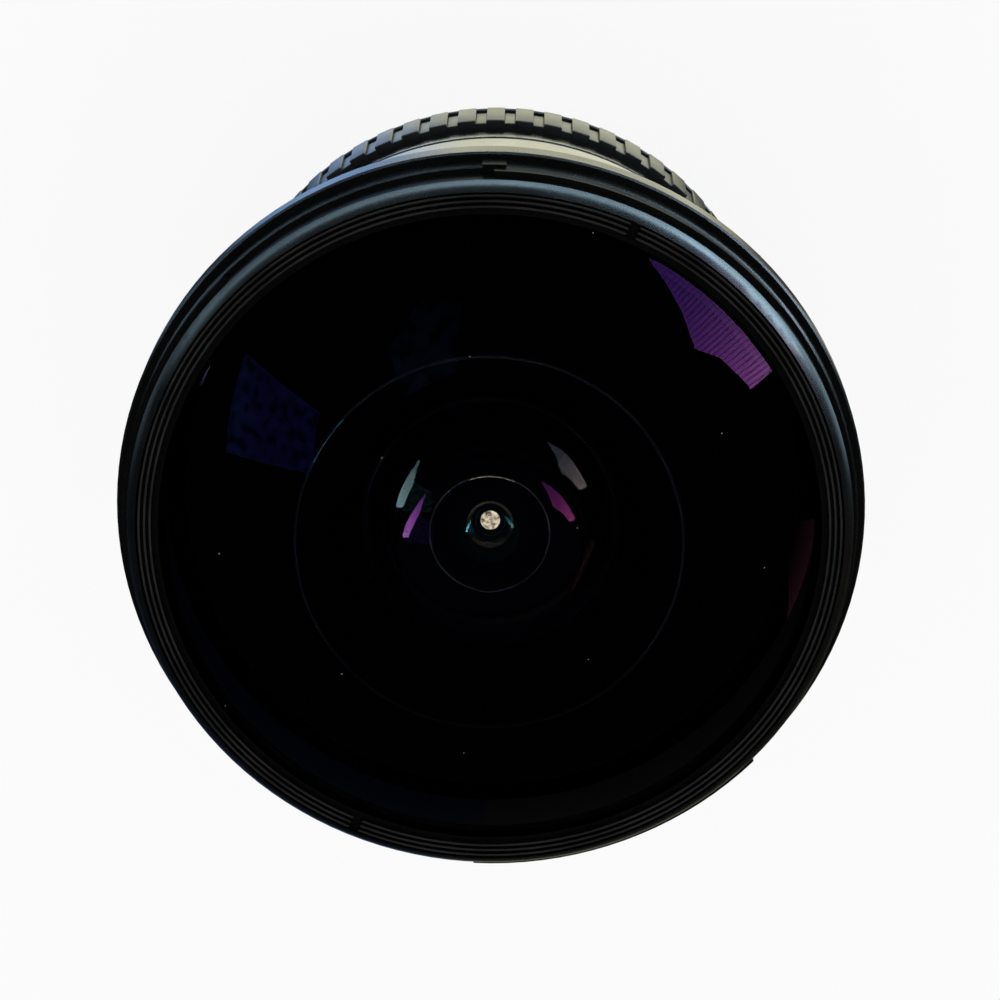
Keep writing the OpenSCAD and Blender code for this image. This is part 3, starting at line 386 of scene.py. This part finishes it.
# %% Light the room
ROOM_MIRRORED = (0.007, 0.009, 0.012, 1)
world = bpy.data.worlds.new("room")
bpy.context.scene.world = world
tree = Tree(world)
rays = tree.rays()
shade = tree.blend(rays["Is Glossy Ray"], grey(1.0), ROOM_MIRRORED)
tree.surface(tree.node("ShaderNodeBackground", None, {"Color": shade, "Strength": 1.0}))
bpy.context.scene.view_settings.view_transform = "Standard"
print("room light 1, mirrored", ROOM_MIRRORED[:3])

# %% [markdown]
# ## Windows that the front glass mirrors
# A dome shows the whole room in miniature, so its few reflections tell where the windows were. Each window
# is a bright card. Its corners are found the other way round: a ray from the camera through a pixel is
# bounced off the dome, and the corner lies where that ray ends up. Two cards light only the glass
# behind the dome, which mirrors more of the left side than the dome does, and one lights only the dome.

# %% Find where a pixel's reflection points
glass_low, glass_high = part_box("front_element")
GLASS_R = glass_high.x
GLASS_EDGE = 1.48 * MM
dome_rise = glass_high.z - glass_low.z - GLASS_EDGE
DOME_R = (GLASS_R ** 2 + dome_rise ** 2) / (2 * dome_rise)
DOME_CENTRE = Vector((0, 0, glass_high.z - DOME_R))


def dome_mirror(px, py, distance):
    """The point in the room, at a distance from the dome, that the dome shows at a pixel."""
    ray = (-BACKWARD * FOCAL_PX + RIGHT * (px - PICTURE / 2) - UP * (py - PICTURE / 2)).normalized()
    start = CAMERA_AT - DOME_CENTRE
    along = ray.dot(start)
    hit = CAMERA_AT + ray * (-along - math.sqrt(along ** 2 - start.length_squared + DOME_R ** 2))
    normal = (hit - DOME_CENTRE).normalized()
    return hit + (ray - 2 * ray.dot(normal) * normal) * distance


WINDOW_FAR = 1.0
INNER_FAR = 0.9


def card(name, pixels, material, distance=WINDOW_FAR):
    """A card with its corners where the dome shows these pixels, seen in mirrors but not by the camera."""
    bpy.ops.object.select_all(action="DESELECT")
    bpy.ops.mesh.primitive_circle_add(vertices=len(pixels), fill_type="NGON")
    made = bpy.context.object
    made.name = name
    for vertex, pixel in zip(made.data.vertices, pixels):
        vertex.co = dome_mirror(*pixel, distance)
    made.data.materials.append(material)
    mirrored_only(made)
    return made


print("dome radius", round(DOME_R / MM, 2), "mm, centre at", round(DOME_CENTRE.z / MM, 2), "mm")

# %% Write the light of a window
SLAT_EDGE = (-0.8, 0.0)
SLAT_LIGHT = (0.45, 1.0)
BLOTCH_NOISE = (0.35, 0.6)
BLOTCH_LIGHT = (0.25, 1.3)


def window_light(name, run, first, last, slats=0, blotch_mm=0, bend=1.0, seen_by="all"):
    """Light that changes colour along a run, from one pixel's place to another's.

    It may be striped by the slats of a blind, or broken up by things that stand before it. A bend above 1
    holds the first colour for longer. The light is seen by all, by the dome or by the inner glass, and is
    clear to the others.
    """
    tree = new_tree(name)
    start, end = (dome_mirror(*pixel, WINDOW_FAR) for pixel in run)
    along = end - start
    step = along / along.length_squared
    dot = {"operation": "DOT_PRODUCT"}
    share = tree.node("ShaderNodeVectorMath", dot, {0: tree.place(), 1: step}, out=1) - start.dot(step)
    colour = tree.blend(share.larger(0.0) ** bend, (*first, 1), (*last, 1))
    if slats:
        wave = (share * (slats * 2 * math.pi)).sine()
        colour = tree.scaled(colour, tree.ramp(wave, *SLAT_EDGE, *SLAT_LIGHT))
    if blotch_mm:
        colour = tree.scaled(colour, tree.ramp(tree.noise(blotch_mm), *BLOTCH_NOISE, *BLOTCH_LIGHT))
    light = tree.glowing(colour)
    if seen_by != "all":
        through = tree.rays()["Is Transmission Ray"]
        light = tree.mix(through if seen_by == "inner" else 1 - through, tree.clear(), light)
    return tree.surface(light)


print("window light: slats", SLAT_LIGHT, "and blotches", BLOTCH_LIGHT)

# %% Hang the windows
# Corners and runs are pixels of the picture. Colours are light, so they may be above 1.
RIGHT_WINDOW = [(648, 258), (679, 271), (713, 294), (743, 328), (773, 370),
                (751, 389), (720, 358), (695, 349), (690, 335), (682, 312)]
LEFT_SCREEN = [(246, 352), (320, 412), (312, 474), (226, 452)]
LEFT_SHELF = [(424, 296), (462, 300), (455, 372), (404, 398), (388, 350)]
WARM_WALL = [(775, 520), (828, 500), (808, 660), (772, 676)]
LEFT_WINDOW = [(158, 400), (167, 385), (166, 470), (157, 476)]
INNER_HIGH = [(296, 300), (271, 372), (230, 384), (262, 338)]
INNER_LOW = [(271, 372), (232, 440), (207, 433), (230, 384)]
RIGHT_RUN = ((668, 262), (757, 395))
SCREEN_RUN = ((240, 352), (320, 475))
SHELF_RUN = ((424, 296), (404, 398))
WARM_RUN = ((775, 600), (825, 600))
LEFT_RUN = ((160, 385), (160, 476))
INNER_RUN = ((296, 300), (218, 436))
VIOLET, PINK = (1.1, 1.0, 2.0), (6.2, 4.2, 5.2)
NAVY, NAVY_LOW = (0.06, 0.2, 0.3), (0.06, 0.2, 0.32)
DIM_GREEN, GREEN = (0.01, 0.1, 0.04), (0.05, 0.3, 0.12)
DIM_RED, RED = (0.016, 0.009, 0.007), (0.47, 0.19, 0.2)
SKY, SKY_LOW = (9, 12, 13), (11, 14, 13)
DIM_SKY, INNER_SKY = (0.9, 1.2, 2.0), (7.0, 9.0, 13.5)
windows = [
    card("right_window", RIGHT_WINDOW,
         window_light("right_window_light", RIGHT_RUN, VIOLET, PINK, slats=30, bend=2.0)),
    card("left_screen", LEFT_SCREEN,
         window_light("left_screen_light", SCREEN_RUN, NAVY, NAVY_LOW, blotch_mm=45)),
    card("left_shelf", LEFT_SHELF,
         window_light("left_shelf_light", SHELF_RUN, DIM_GREEN, GREEN, blotch_mm=60, seen_by="dome")),
    card("warm_wall", WARM_WALL, window_light("warm_wall_light", WARM_RUN, DIM_RED, RED)),
    card("left_window", LEFT_WINDOW, window_light("left_window_light", LEFT_RUN, SKY, SKY_LOW)),
]
inner_light = window_light("inner_window_light", INNER_RUN, DIM_SKY, INNER_SKY, seen_by="inner")
windows.append(card("inner_window_high", INNER_HIGH, inner_light, INNER_FAR))
windows.append(card("inner_window_low", INNER_LOW, inner_light, INNER_FAR))
print("windows:", [window.name for window in windows])

# %% [markdown]
# ## Black metal
# Most of the lens is aluminium, blasted with fine grit and anodised black. It isn't a flat black: the grit
# leaves a grain about a tenth of a millimetre wide, handling polishes it here and there, and the turned
# faces keep the fine rings of the lathe tool. Noise and a sine of the radius give these as bump and gloss.
# The ridges of the front ring are rubbed by caps and cloths, and their crests are painted a lighter grey:
# partly wear and partly a painted highlight of the ridge lines. The baffle at the back is moulded plastic
# with a coarser grain, and the same sums give that too.

# %% Matt and satin blacks
# A lean lets lathe rings run down a face that stands up along the axis too.
NOISE_MEAN = 0.5
HANDLING_MM = 6.0
HANDLING_ROUGH = 0.16
GRAIN_ROUGH = 0.1
SHADE_FROM, SHADE_TO = 0.75, 1.35
LATHE_LEAN = 0.37
LATHE_HEIGHT, LATHE_GRAIN = 0.3, 0.4
# The grey on a crest is partly wear and partly a painted highlight of the ridge lines.
WEAR_AND_HIGHLIGHT_DEPTH_MM = 0.12
WEAR_AND_HIGHLIGHT_SHADE = 0.018
WEAR_AND_HIGHLIGHT_NOISE = (0.3, 0.6)
WEAR_AND_HIGHLIGHT_SHARE = (0.5, 1.0)


def black_finish(name, shade, rough, grain_mm=0.12, rings_mm=0.0, crest_mm=None):
    """Black with a grain, lathe rings if they have a pitch, and a lighter grey just below the height of a
    crest, partly wear and partly a painted highlight.
    """
    tree = new_tree(name)
    z, radius = tree.xyz()[2:]
    grain = tree.noise(grain_mm)
    handling = tree.noise(HANDLING_MM, detail=3.0)
    height = grain
    if rings_mm:
        height = grain * LATHE_GRAIN + (radius + z * LATHE_LEAN).waves(rings_mm) * LATHE_HEIGHT
    colour = tree.blend(handling, grey(shade * SHADE_FROM), grey(shade * SHADE_TO))
    if crest_mm:
        # Paint the crests lighter grey: partly wear, partly a painted highlight.
        worn = tree.ramp(z, crest_mm - WEAR_AND_HIGHLIGHT_DEPTH_MM, crest_mm)
        worn = worn * tree.ramp(handling, *WEAR_AND_HIGHLIGHT_NOISE, *WEAR_AND_HIGHLIGHT_SHARE)
        colour = tree.blend(worn, colour, grey(WEAR_AND_HIGHLIGHT_SHADE))
    rough = rough + (handling - NOISE_MEAN) * HANDLING_ROUGH + (grain - NOISE_MEAN) * GRAIN_ROUGH
    return tree.surface(tree.principled(Base_Color=colour, Roughness=rough,
                                        Normal=tree.bump(height, depth_mm=0.012, strength=0.25)))


crest_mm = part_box("front_retaining_ring")[1].z / MM
BARREL = black_finish("barrel_black", shade=0.003, rough=0.26)
TURNED = black_finish("turned_black", shade=0.002, rough=0.26, grain_mm=0.1, rings_mm=0.22, crest_mm=crest_mm)
RING_BLACK = black_finish("ring_black", shade=0.006, rough=0.32, grain_mm=0.14)
CELL_BLACK = black_finish("cell_black", shade=0.002, rough=0.5, grain_mm=0.1, rings_mm=0.5)
BAFFLE_BLACK = black_finish("baffle_black", shade=0.006, rough=0.62, grain_mm=0.3)
print("blacks:", [finish.name for finish in (BARREL, TURNED, RING_BLACK, CELL_BLACK, BAFFLE_BLACK)])

# %% [markdown]
# ## Rubber
# The grip and the seal are moulded rubber. New rubber is nearly black and quite dull, with a slight bloom:
# a grey cast where the surface has dried, strongest on the high, handled parts.

# %% Rubber
PORE_MM = 0.09
BLOOM_MM = 2.5
ROOT_BLOOM = 0.25
FRESH, BLOOMED = (0.005, 0.005, 0.006, 1), (0.026, 0.025, 0.022, 1)
FRESH_ROUGH = 0.37
BLOOM_ROUGH = 0.14
GRIP_DEEP_MM = 1.1


def rubber(name, root_mm, tip_mm):
    """Rubber with more bloom towards the tip, where it is handled, than at the root."""
    tree = new_tree(name)
    radius = tree.xyz()[3]
    pores = tree.noise(PORE_MM, detail=3.0)
    bloom = tree.noise(BLOOM_MM, detail=4.0) * tree.ramp(radius, root_mm, tip_mm, ROOT_BLOOM, 1.0)
    colour = tree.blend(bloom, FRESH, BLOOMED)
    return tree.surface(tree.principled(Base_Color=colour, Roughness=FRESH_ROUGH + bloom * BLOOM_ROUGH,
                                        Normal=tree.bump(pores, depth_mm=0.03, strength=0.4)))


grip_low, grip_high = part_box("focus_grip")
GRIP_RUBBER = rubber("grip_rubber", root_mm=grip_high.y / MM - GRIP_DEEP_MM, tip_mm=grip_high.y / MM)
SEAL_RUBBER = rubber("seal_rubber", root_mm=20, tip_mm=40)
print("rubber:", GRIP_RUBBER.name, SEAL_RUBBER.name)

# %% [markdown]
# ## Bright metal
# The mount is chromed brass, turned on a lathe, so its flats show fine circles. Screws are plain steel, and
# the cam sleeve, its rollers and the iris cam ring are brass, which is slippery against aluminium. The iris
# blades are spring steel, blackened so that they don't flare.

# %% Turned metal
STAIN_MM = 3.0
STAIN_ROUGH = 0.14
TURNED_LEAN = 0.6
TURNED_ROUGH = 0.03


def turned_metal(name, colour, rough, rings_mm, tarnish=0.15):
    """Bright metal with the rings of the lathe tool, and stains that are darker by the tarnish."""
    tree = new_tree(name)
    z, radius = tree.xyz()[2:]
    stain = tree.noise(STAIN_MM, detail=4.0)
    rings = (radius + z * TURNED_LEAN).waves(rings_mm)
    dull = tuple(part * (1 - tarnish) for part in colour)
    shade = tree.blend(stain, (*colour, 1), (*dull, 1))
    rough = rough + (stain - NOISE_MEAN) * STAIN_ROUGH + rings * TURNED_ROUGH
    return tree.surface(tree.principled(Base_Color=shade, Metallic=1.0, Roughness=rough,
                                        Normal=tree.bump(rings, depth_mm=0.004, strength=0.3)))


CHROME = turned_metal("mount_chrome", (0.78, 0.78, 0.79), rough=0.24, rings_mm=0.16)
STEEL = turned_metal("screw_steel", (0.55, 0.55, 0.56), rough=0.32, rings_mm=0.1)
BRASS = turned_metal("cam_brass", (0.80, 0.58, 0.26), rough=0.3, rings_mm=0.2, tarnish=0.3)
BLADE = turned_metal("blade_steel", (0.075, 0.075, 0.08), rough=0.36, rings_mm=0.12)
print("bright metal:", CHROME.name, STEEL.name, BRASS.name, BLADE.name)

# %% [markdown]
# ## Coated glass
# A lens element is clear glass with a thin coating on each face, which turns its weak reflection violet,
# magenta or green. Its rim, and any flat that carries no light, is painted black. So three shaders meet in
# one material: front coating, rear coating and paint, chosen by where the point lies. The two faces
# are told apart by a middle surface, half way between the heights that the mesh has at its axis and its rim.

# %% Measure the elements
NEAR_AXIS_MM = 0.6
NEAR_RIM_MM = 0.01


def middle_of(node):
    """Mid heights at the axis and at the rim of a lens element, and its radius, in millimetres."""
    points = [(math.hypot(v.co.x, v.co.y) / MM, v.co.z / MM) for v in NODES[node].data.vertices]
    edge = max(r for r, z in points)
    nearest = min(r for r, z in points)
    axis = [z for r, z in points if r < nearest + NEAR_AXIS_MM]
    rim = [z for r, z in points if r > edge - NEAR_RIM_MM]
    return (max(axis) + min(axis)) / 2, (max(rim) + min(rim)) / 2, edge


for node in ("front_element", "second_element", "third_element"):
    print(node, [round(v, 2) for v in middle_of(node)])

# %% Coated glass
DUST_MM = 0.055
LINT_SHADE = 0.22
PAINT_SHADE = 0.0015
PAINT_EDGE_MM = 0.02
FLAT_DEEP_MM = 0.03
GROUND_MM = 0.15
GROUND_FADE = 1.3


def coated_glass(name, node, front, back, index=1.6, hollow_mm=None, ground=0.0, cemented="", dust_mm=0.0):
    """Glass with a front and a back coating, a painted rim, and a painted rear flat outside a hollow.

    The sharp edge of a hollow is ground off, which leaves a thin line of a ground shade inside the paint.
    A cemented face meets the next element's glass, so it mirrors nothing. dust_mm is the mean distance
    between specks of dust on the front face.
    """
    tree = new_tree(name)
    z, radius = tree.xyz()[2:]
    axis_z, rim_z, edge = middle_of(node)
    share = radius / edge
    is_front = z > axis_z + (rim_z - axis_z) * share * share
    faces = []
    for side, tint in (("front", front), ("back", back)):
        if side == cemented:
            faces.append(tree.clear())
            continue
        faces.append(tree.principled(Base_Color=grey(1.0), Roughness=0.0, IOR=index,
                                     Transmission_Weight=1.0, Specular_Tint=(*tint, 1)))
    glass = tree.mix(is_front, faces[1], faces[0])
    if dust_mm:
        specks = tree.node("ShaderNodeTexVoronoi", {"voronoi_dimensions": "2D"},
                           {"Vector": tree.place(), "Scale": 1 / (dust_mm * MM)})
        # Twice a noise is about 1, so specks are DUST_MM in radius on average.
        size = tree.noise(dust_mm * 2) * 2 * DUST_MM / dust_mm
        lint = tree.principled(Base_Color=grey(LINT_SHADE), Roughness=0.8)
        glass = tree.mix((specks < size) * is_front, glass, lint)
    painted = radius > edge - PAINT_EDGE_MM
    shade = grey(PAINT_SHADE)
    if hollow_mm:
        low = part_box(node)[0].z / MM
        painted = painted.larger((z < low + FLAT_DEEP_MM) * (radius > hollow_mm + PAINT_EDGE_MM))
        line = tree.ramp(radius, hollow_mm + GROUND_MM, hollow_mm + GROUND_FADE * GROUND_MM, 1.0, 0.0)
        shade = tree.blend(line, shade, grey(ground))
    paint = tree.principled(Base_Color=shade, Roughness=0.6, Specular_IOR_Level=0.0)
    return tree.surface(tree.mix(painted, glass, paint))


UNCOATED = (1, 1, 1)
COATINGS = {
    "front_element": dict(front=(0.3, 0.07, 0.47), back=(0.5, 0.05, 0.34), index=1.62,
                          hollow_mm=16.3, ground=0.06, dust_mm=16.0),
    "second_element": dict(front=(0.27, 0.32, 0.24), back=(0.15, 1.0, 0.9), index=1.62,
                           hollow_mm=6.72, ground=0.45),
    "third_element": dict(front=(0.05, 0.8, 0.65), back=UNCOATED, cemented="back"),
    "fourth_element": dict(front=UNCOATED, back=(0.05, 0.6, 0.6), cemented="front"),
    "fifth_element": dict(front=(0.05, 0.5, 0.35), back=(0.1, 0.2, 0.6)),
    "sixth_element": dict(front=(0.05, 0.5, 0.3), back=UNCOATED, cemented="back"),
    "seventh_element": dict(front=UNCOATED, back=(0.2, 0.35, 0.4), cemented="front"),
    "eighth_element": dict(front=(0.05, 0.4, 0.3), back=(0.35, 0.15, 0.45)),
}
GLASS = {node: coated_glass(node.replace("element", "glass"), node, **coating)
         for node, coating in COATINGS.items()}
print("glass:", len(GLASS), "elements")

# %% [markdown]
# ## Dressing the machined pieces
# Each machined piece keeps its shape and gets the finish that its real one has.

# %% Give every node its finish
FINISHES = {
    "mount_flange": CHROME, "mount_screws": STEEL, "rear_baffle": BAFFLE_BLACK, "rear_barrel": RING_BLACK,
    "index_ring": RING_BLACK, "index_screws": STEEL, "collar": BARREL, "detent_ball": STEEL,
    "detent_spring": STEEL, "aperture_ring": RING_BLACK, "aperture_lever": STEEL, "lever_screw": STEEL,
    "focus_ring": RING_BLACK, "focus_grip": GRIP_RUBBER, "cam_sleeve": BRASS, "cam_screws": STEEL,
    "carrier_tube": BARREL, "cam_rollers": BRASS, "roller_screws": STEEL, "front_barrel": BARREL,
    "barrel_screws": STEEL, "front_seal": SEAL_RUBBER, "front_retaining_ring": TURNED,
    "cell_screws": STEEL, "iris_screws": STEEL, "iris_cam_ring": BRASS, **GLASS,
}
for name, piece in NODES.items():
    finish = FINISHES.get(name)
    if finish is None:
        finish = BLADE if name.startswith("iris_blade") else CELL_BLACK
    piece.data.materials.clear()
    piece.data.materials.append(finish)
print("dressed", len(NODES), "nodes,", sum(1 for n in NODES if n not in FINISHES), "of them cells and blades")

# %% [markdown]
# ## The rubber grip
# The grip is a moulded sleeve: sixty wide blocks with rounded edges, lower narrow ones between them, and a
# small pocket behind each narrow one. It could be cut from one tube, but a mould maker repeats one pitch,
# and so does this cell: two blocks are bevelled once, bent to the ring's curve and arrayed round it.

# %% Model one pitch of the grip
GRIP_BLOCKS = 60
GRIP_PITCH = 2 * math.pi / GRIP_BLOCKS
WIDE_SHARE = 0.63
NARROW_SHARE = 1.04 - WIDE_SHARE
WIDE_ROUNDING = 0.16 * MM
NARROW_ROUNDING = 0.12 * MM
ROUNDING_STEPS = 3
GRIP_ROOT = 28.98 * MM
GRIP_TIP = grip_high.x
NARROW_TIP = GRIP_TIP - 0.35 * MM
POCKET_FROM = grip_low.z + 0.5 * MM
POCKET_TO = grip_low.z + 1.4 * MM
SUNK = 0.2 * MM


def only(piece):
    """Select one object alone and make it active."""
    bpy.ops.object.select_all(action="DESELECT")
    piece.select_set(True)
    bpy.context.view_layer.objects.active = piece


def grip_block(name, turn, share, tip, bottom, rounding):
    """A block with rounded edges, bent to the ring's curve, at a turn from +X."""
    bpy.ops.object.select_all(action="DESELECT")
    bpy.ops.mesh.primitive_cube_add(size=1)
    piece = bpy.context.object
    piece.name = name
    root = GRIP_ROOT - SUNK
    bpy.ops.object.mode_set(mode="EDIT")
    bpy.ops.mesh.select_all(action="SELECT")
    bpy.ops.transform.resize(value=(share * GRIP_PITCH * tip, tip - root, grip_high.z - bottom),
                             center_override=(0, 0, 0))
    bpy.ops.mesh.bevel(offset=rounding, segments=ROUNDING_STEPS, affect="EDGES")
    bpy.ops.object.mode_set(mode="OBJECT")
    for vertex in piece.data.vertices:
        angle = turn + vertex.co.x / tip
        reach = vertex.co.y + (tip + root) / 2
        height = vertex.co.z + (grip_high.z + bottom) / 2
        vertex.co = (reach * math.cos(angle), reach * math.sin(angle), height)
    return piece


def array_round(piece, count):
    """Repeat a piece round the optical axis and make the copies real."""
    bpy.ops.object.select_all(action="DESELECT")
    bpy.ops.object.empty_add()
    pivot = bpy.context.object
    pivot.rotation_euler.z = 2 * math.pi / count
    only(piece)
    steps = piece.modifiers.new("round", "ARRAY")
    steps.use_relative_offset = False
    steps.use_object_offset = True
    steps.offset_object = pivot
    steps.count = count
    bpy.context.view_layer.update()
    bpy.ops.object.modifier_apply(modifier="round")
    bpy.data.objects.remove(pivot)


wide = grip_block("grip_wide", 0.0, WIDE_SHARE, GRIP_TIP, grip_low.z, WIDE_ROUNDING)
narrow = grip_block("grip_narrow", GRIP_PITCH / 2, NARROW_SHARE, NARROW_TIP, POCKET_TO, NARROW_ROUNDING)
for piece in (wide, narrow):
    array_round(piece, GRIP_BLOCKS)
print("grip blocks:", len(wide.data.polygons) + len(narrow.data.polygons), "faces")

# %% Spin the grip's sleeve and join it
WELD = 1e-6
SMOOTH_BELOW = math.radians(35)


def spun_ring(name, profile, steps=180):
    """A ring turned from a closed outline of radius and height."""
    bpy.ops.object.select_all(action="DESELECT")
    bpy.ops.mesh.primitive_circle_add(vertices=len(profile), fill_type="NOTHING")
    piece = bpy.context.object
    piece.name = name
    for vertex, (reach, height) in zip(piece.data.vertices, profile):
        vertex.co = (reach, 0, height)
    bpy.ops.object.mode_set(mode="EDIT")
    bpy.ops.mesh.select_all(action="SELECT")
    bpy.ops.mesh.spin(steps=steps, angle=2 * math.pi, center=(0, 0, 0), axis=(0, 0, 1))
    bpy.ops.mesh.select_all(action="SELECT")
    bpy.ops.mesh.remove_doubles(threshold=WELD)
    bpy.ops.mesh.normals_make_consistent(inside=False)
    bpy.ops.object.mode_set(mode="OBJECT")
    return piece


GRIP_BORE = 28.08 * MM
RIM_R = GRIP_TIP - 0.1 * MM
SOFT = 0.12 * MM
sleeve = spun_ring("rubber_grip", [
    (GRIP_BORE, grip_low.z), (RIM_R - SOFT, grip_low.z), (RIM_R, grip_low.z + SOFT),
    (RIM_R, POCKET_FROM - SOFT), (RIM_R - SOFT, POCKET_FROM), (GRIP_ROOT, POCKET_FROM),
    (GRIP_ROOT, grip_high.z - SOFT), (GRIP_ROOT - SOFT, grip_high.z), (GRIP_BORE, grip_high.z)])
only(sleeve)
for piece in (wide, narrow):
    piece.select_set(True)
bpy.ops.object.join()
bpy.ops.object.shade_smooth_by_angle(angle=SMOOTH_BELOW)
sleeve.data.materials.clear()
sleeve.data.materials.append(GRIP_RUBBER)
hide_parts("focus_grip")
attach(sleeve, "focus")
print("grip:", len(sleeve.data.polygons), "faces")

# %% [markdown]
# ## Painted marks
# The rings carry engraved figures filled with paint: stops on the aperture ring, distances on the focus
# ring, and an index line and a red dot that the camera's own mark meets. Each word is set as text, made a
# mesh and bent round its ring, a hair proud of the metal, so the rings carry the marks as they turn.

# %% Mark paint
PAINT_WEAR_MM = 0.3
PAINT_WEAR_NOISE = (0.35, 0.7)
WORN_PAINT = 0.6
PAINT_ROUGH = 0.5
WEAR_ROUGH = 0.2


def mark_paint(name, colour):
    """Engraving paint: a little worn and uneven."""
    tree = new_tree(name)
    wear = tree.noise(PAINT_WEAR_MM, detail=3.0)
    worn = tuple(part * WORN_PAINT for part in colour)
    shade = tree.blend(tree.ramp(wear, *PAINT_WEAR_NOISE), (*colour, 1), (*worn, 1))
    return tree.surface(tree.principled(Base_Color=shade, Roughness=PAINT_ROUGH + wear * WEAR_ROUGH,
                                        Normal=tree.bump(wear, depth_mm=0.01, strength=0.3)))


WHITE_PAINT = mark_paint("white_mark_paint", (0.78, 0.77, 0.72))
RED_PAINT = mark_paint("red_mark_paint", (0.62, 0.03, 0.02))
MARK_PROUD = 0.02 * MM
FRONT_TURN = -math.pi / 2
FINE_WELD = 1e-7


def wrap(piece, ring_r, height, turn):
    """Bend a flat mark, drawn in the XY plane, round a ring that faces the camera side at that turn."""
    for vertex in piece.data.vertices:
        angle = FRONT_TURN + turn + vertex.co.x / ring_r
        reach = ring_r + MARK_PROUD / 2 + vertex.co.z
        vertex.co = (reach * math.cos(angle), reach * math.sin(angle), height + vertex.co.y)


def finish_mark(piece, paint, body):
    """Paint a mark and let it ride on its ring."""
    piece.data.materials.clear()
    piece.data.materials.append(paint)
    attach(piece, body)
    return piece


def written(name, text, size_mm, ring_r, height, turn, body, lie=0.0):
    """A figure painted on a ring. lie turns it on the spot."""
    bpy.ops.object.select_all(action="DESELECT")
    bpy.ops.object.text_add()
    piece = bpy.context.object
    piece.name = name
    piece.data.body = text
    piece.data.size = size_mm * MM
    piece.data.extrude = MARK_PROUD / 2
    piece.data.align_x = "CENTER"
    piece.data.align_y = "CENTER"
    bpy.ops.object.convert(target="MESH")
    piece = bpy.context.object
    bpy.ops.object.mode_set(mode="EDIT")
    bpy.ops.mesh.select_all(action="SELECT")
    bpy.ops.mesh.remove_doubles(threshold=FINE_WELD)
    bpy.ops.transform.rotate(value=lie, orient_axis="Z", center_override=(0, 0, 0))
    bpy.ops.mesh.quads_convert_to_tris()
    bpy.ops.object.mode_set(mode="OBJECT")
    wrap(piece, ring_r, height, turn)
    return finish_mark(piece, WHITE_PAINT, body)


print("paint:", WHITE_PAINT.name, RED_PAINT.name)

# %% Paint the scales
APERTURE_TURN = 60
STOPS = ["3.5", "5.6", "8", "11", "16", "22"]
DISTANCES = {"1": 12.8, ".5": 25.6, ".3": 42.7, ".2": 64.0, ".15": 85.3}
STOP_MM = 1.9
DISTANCE_MM = 2.4
FAR_MM = 2.6
BAND_R = 26.56 * MM
SCALE_R = 28.48 * MM
STOP_DOWN = 1.1 * MM
stop_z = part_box("aperture_ring")[1].z - STOP_DOWN
scale_z = (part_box("focus_ring")[0].z + grip_low.z) / 2
marks = []
for i, text in enumerate(STOPS):
    turn = -math.radians(APERTURE_TURN * i / (len(STOPS) - 1))
    marks.append(written(f"stop_{i + 1}", text, STOP_MM, BAND_R, stop_z, turn, "aperture"))
for i, (text, degrees) in enumerate(DISTANCES.items()):
    turn = -math.radians(degrees)
    marks.append(written(f"distance_{i + 1}", text, DISTANCE_MM, SCALE_R, scale_z, turn, "focus"))
marks.append(written("distance_far", "8", FAR_MM, SCALE_R, scale_z, 0.0, "focus", lie=math.pi / 2))
print("scales:", len(marks), "marks")

# %% Paint the index line and the mount dot
SQUARE = 4


def painted_shape(name, corners, width_mm, height_mm, ring_r, height, paint):
    """A flat painted spot with that many corners, bent round a fixed ring at the camera side.

    It is drawn one unit wide and then resized. A square needs more, as its corners lie beyond its sides.
    """
    bpy.ops.object.select_all(action="DESELECT")
    bpy.ops.mesh.primitive_circle_add(vertices=corners, radius=0.5, fill_type="NGON")
    piece = bpy.context.object
    piece.name = name
    bpy.ops.object.mode_set(mode="EDIT")
    bpy.ops.mesh.select_all(action="SELECT")
    bpy.ops.transform.rotate(value=math.pi / corners, orient_axis="Z", center_override=(0, 0, 0))
    spread = 1 / math.cos(math.pi / corners) if corners == SQUARE else 1.0
    bpy.ops.transform.resize(value=(width_mm * MM * spread, height_mm * MM * spread, 1),
                             center_override=(0, 0, 0))
    bpy.ops.mesh.extrude_region_move(TRANSFORM_OT_translate={"value": (0, 0, MARK_PROUD / 2)})
    bpy.ops.object.mode_set(mode="OBJECT")
    wrap(piece, ring_r, height, 0.0)
    finish_mark(piece, paint, "base")


LINE_WIDE_MM = 0.45
LINE_HIGH_MM = 1.7
DOT_MM = 1.7
DOT_CORNERS = 24
DOT_UP = 1.7 * MM
FLANGE_R = 26.1 * MM
index_low, index_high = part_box("index_ring")
INDEX_R = index_high.x
line_z = (index_low.z + index_high.z) / 2
dot_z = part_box("rear_barrel")[0].z + DOT_UP
painted_shape("index_line", SQUARE, LINE_WIDE_MM, LINE_HIGH_MM, INDEX_R, line_z, WHITE_PAINT)
painted_shape("mount_dot", DOT_CORNERS, DOT_MM, DOT_MM, FLANGE_R, dot_z, RED_PAINT)
print("index line at", round(INDEX_R / MM, 2), "mm, dot at", round(FLANGE_R / MM, 2), "mm")
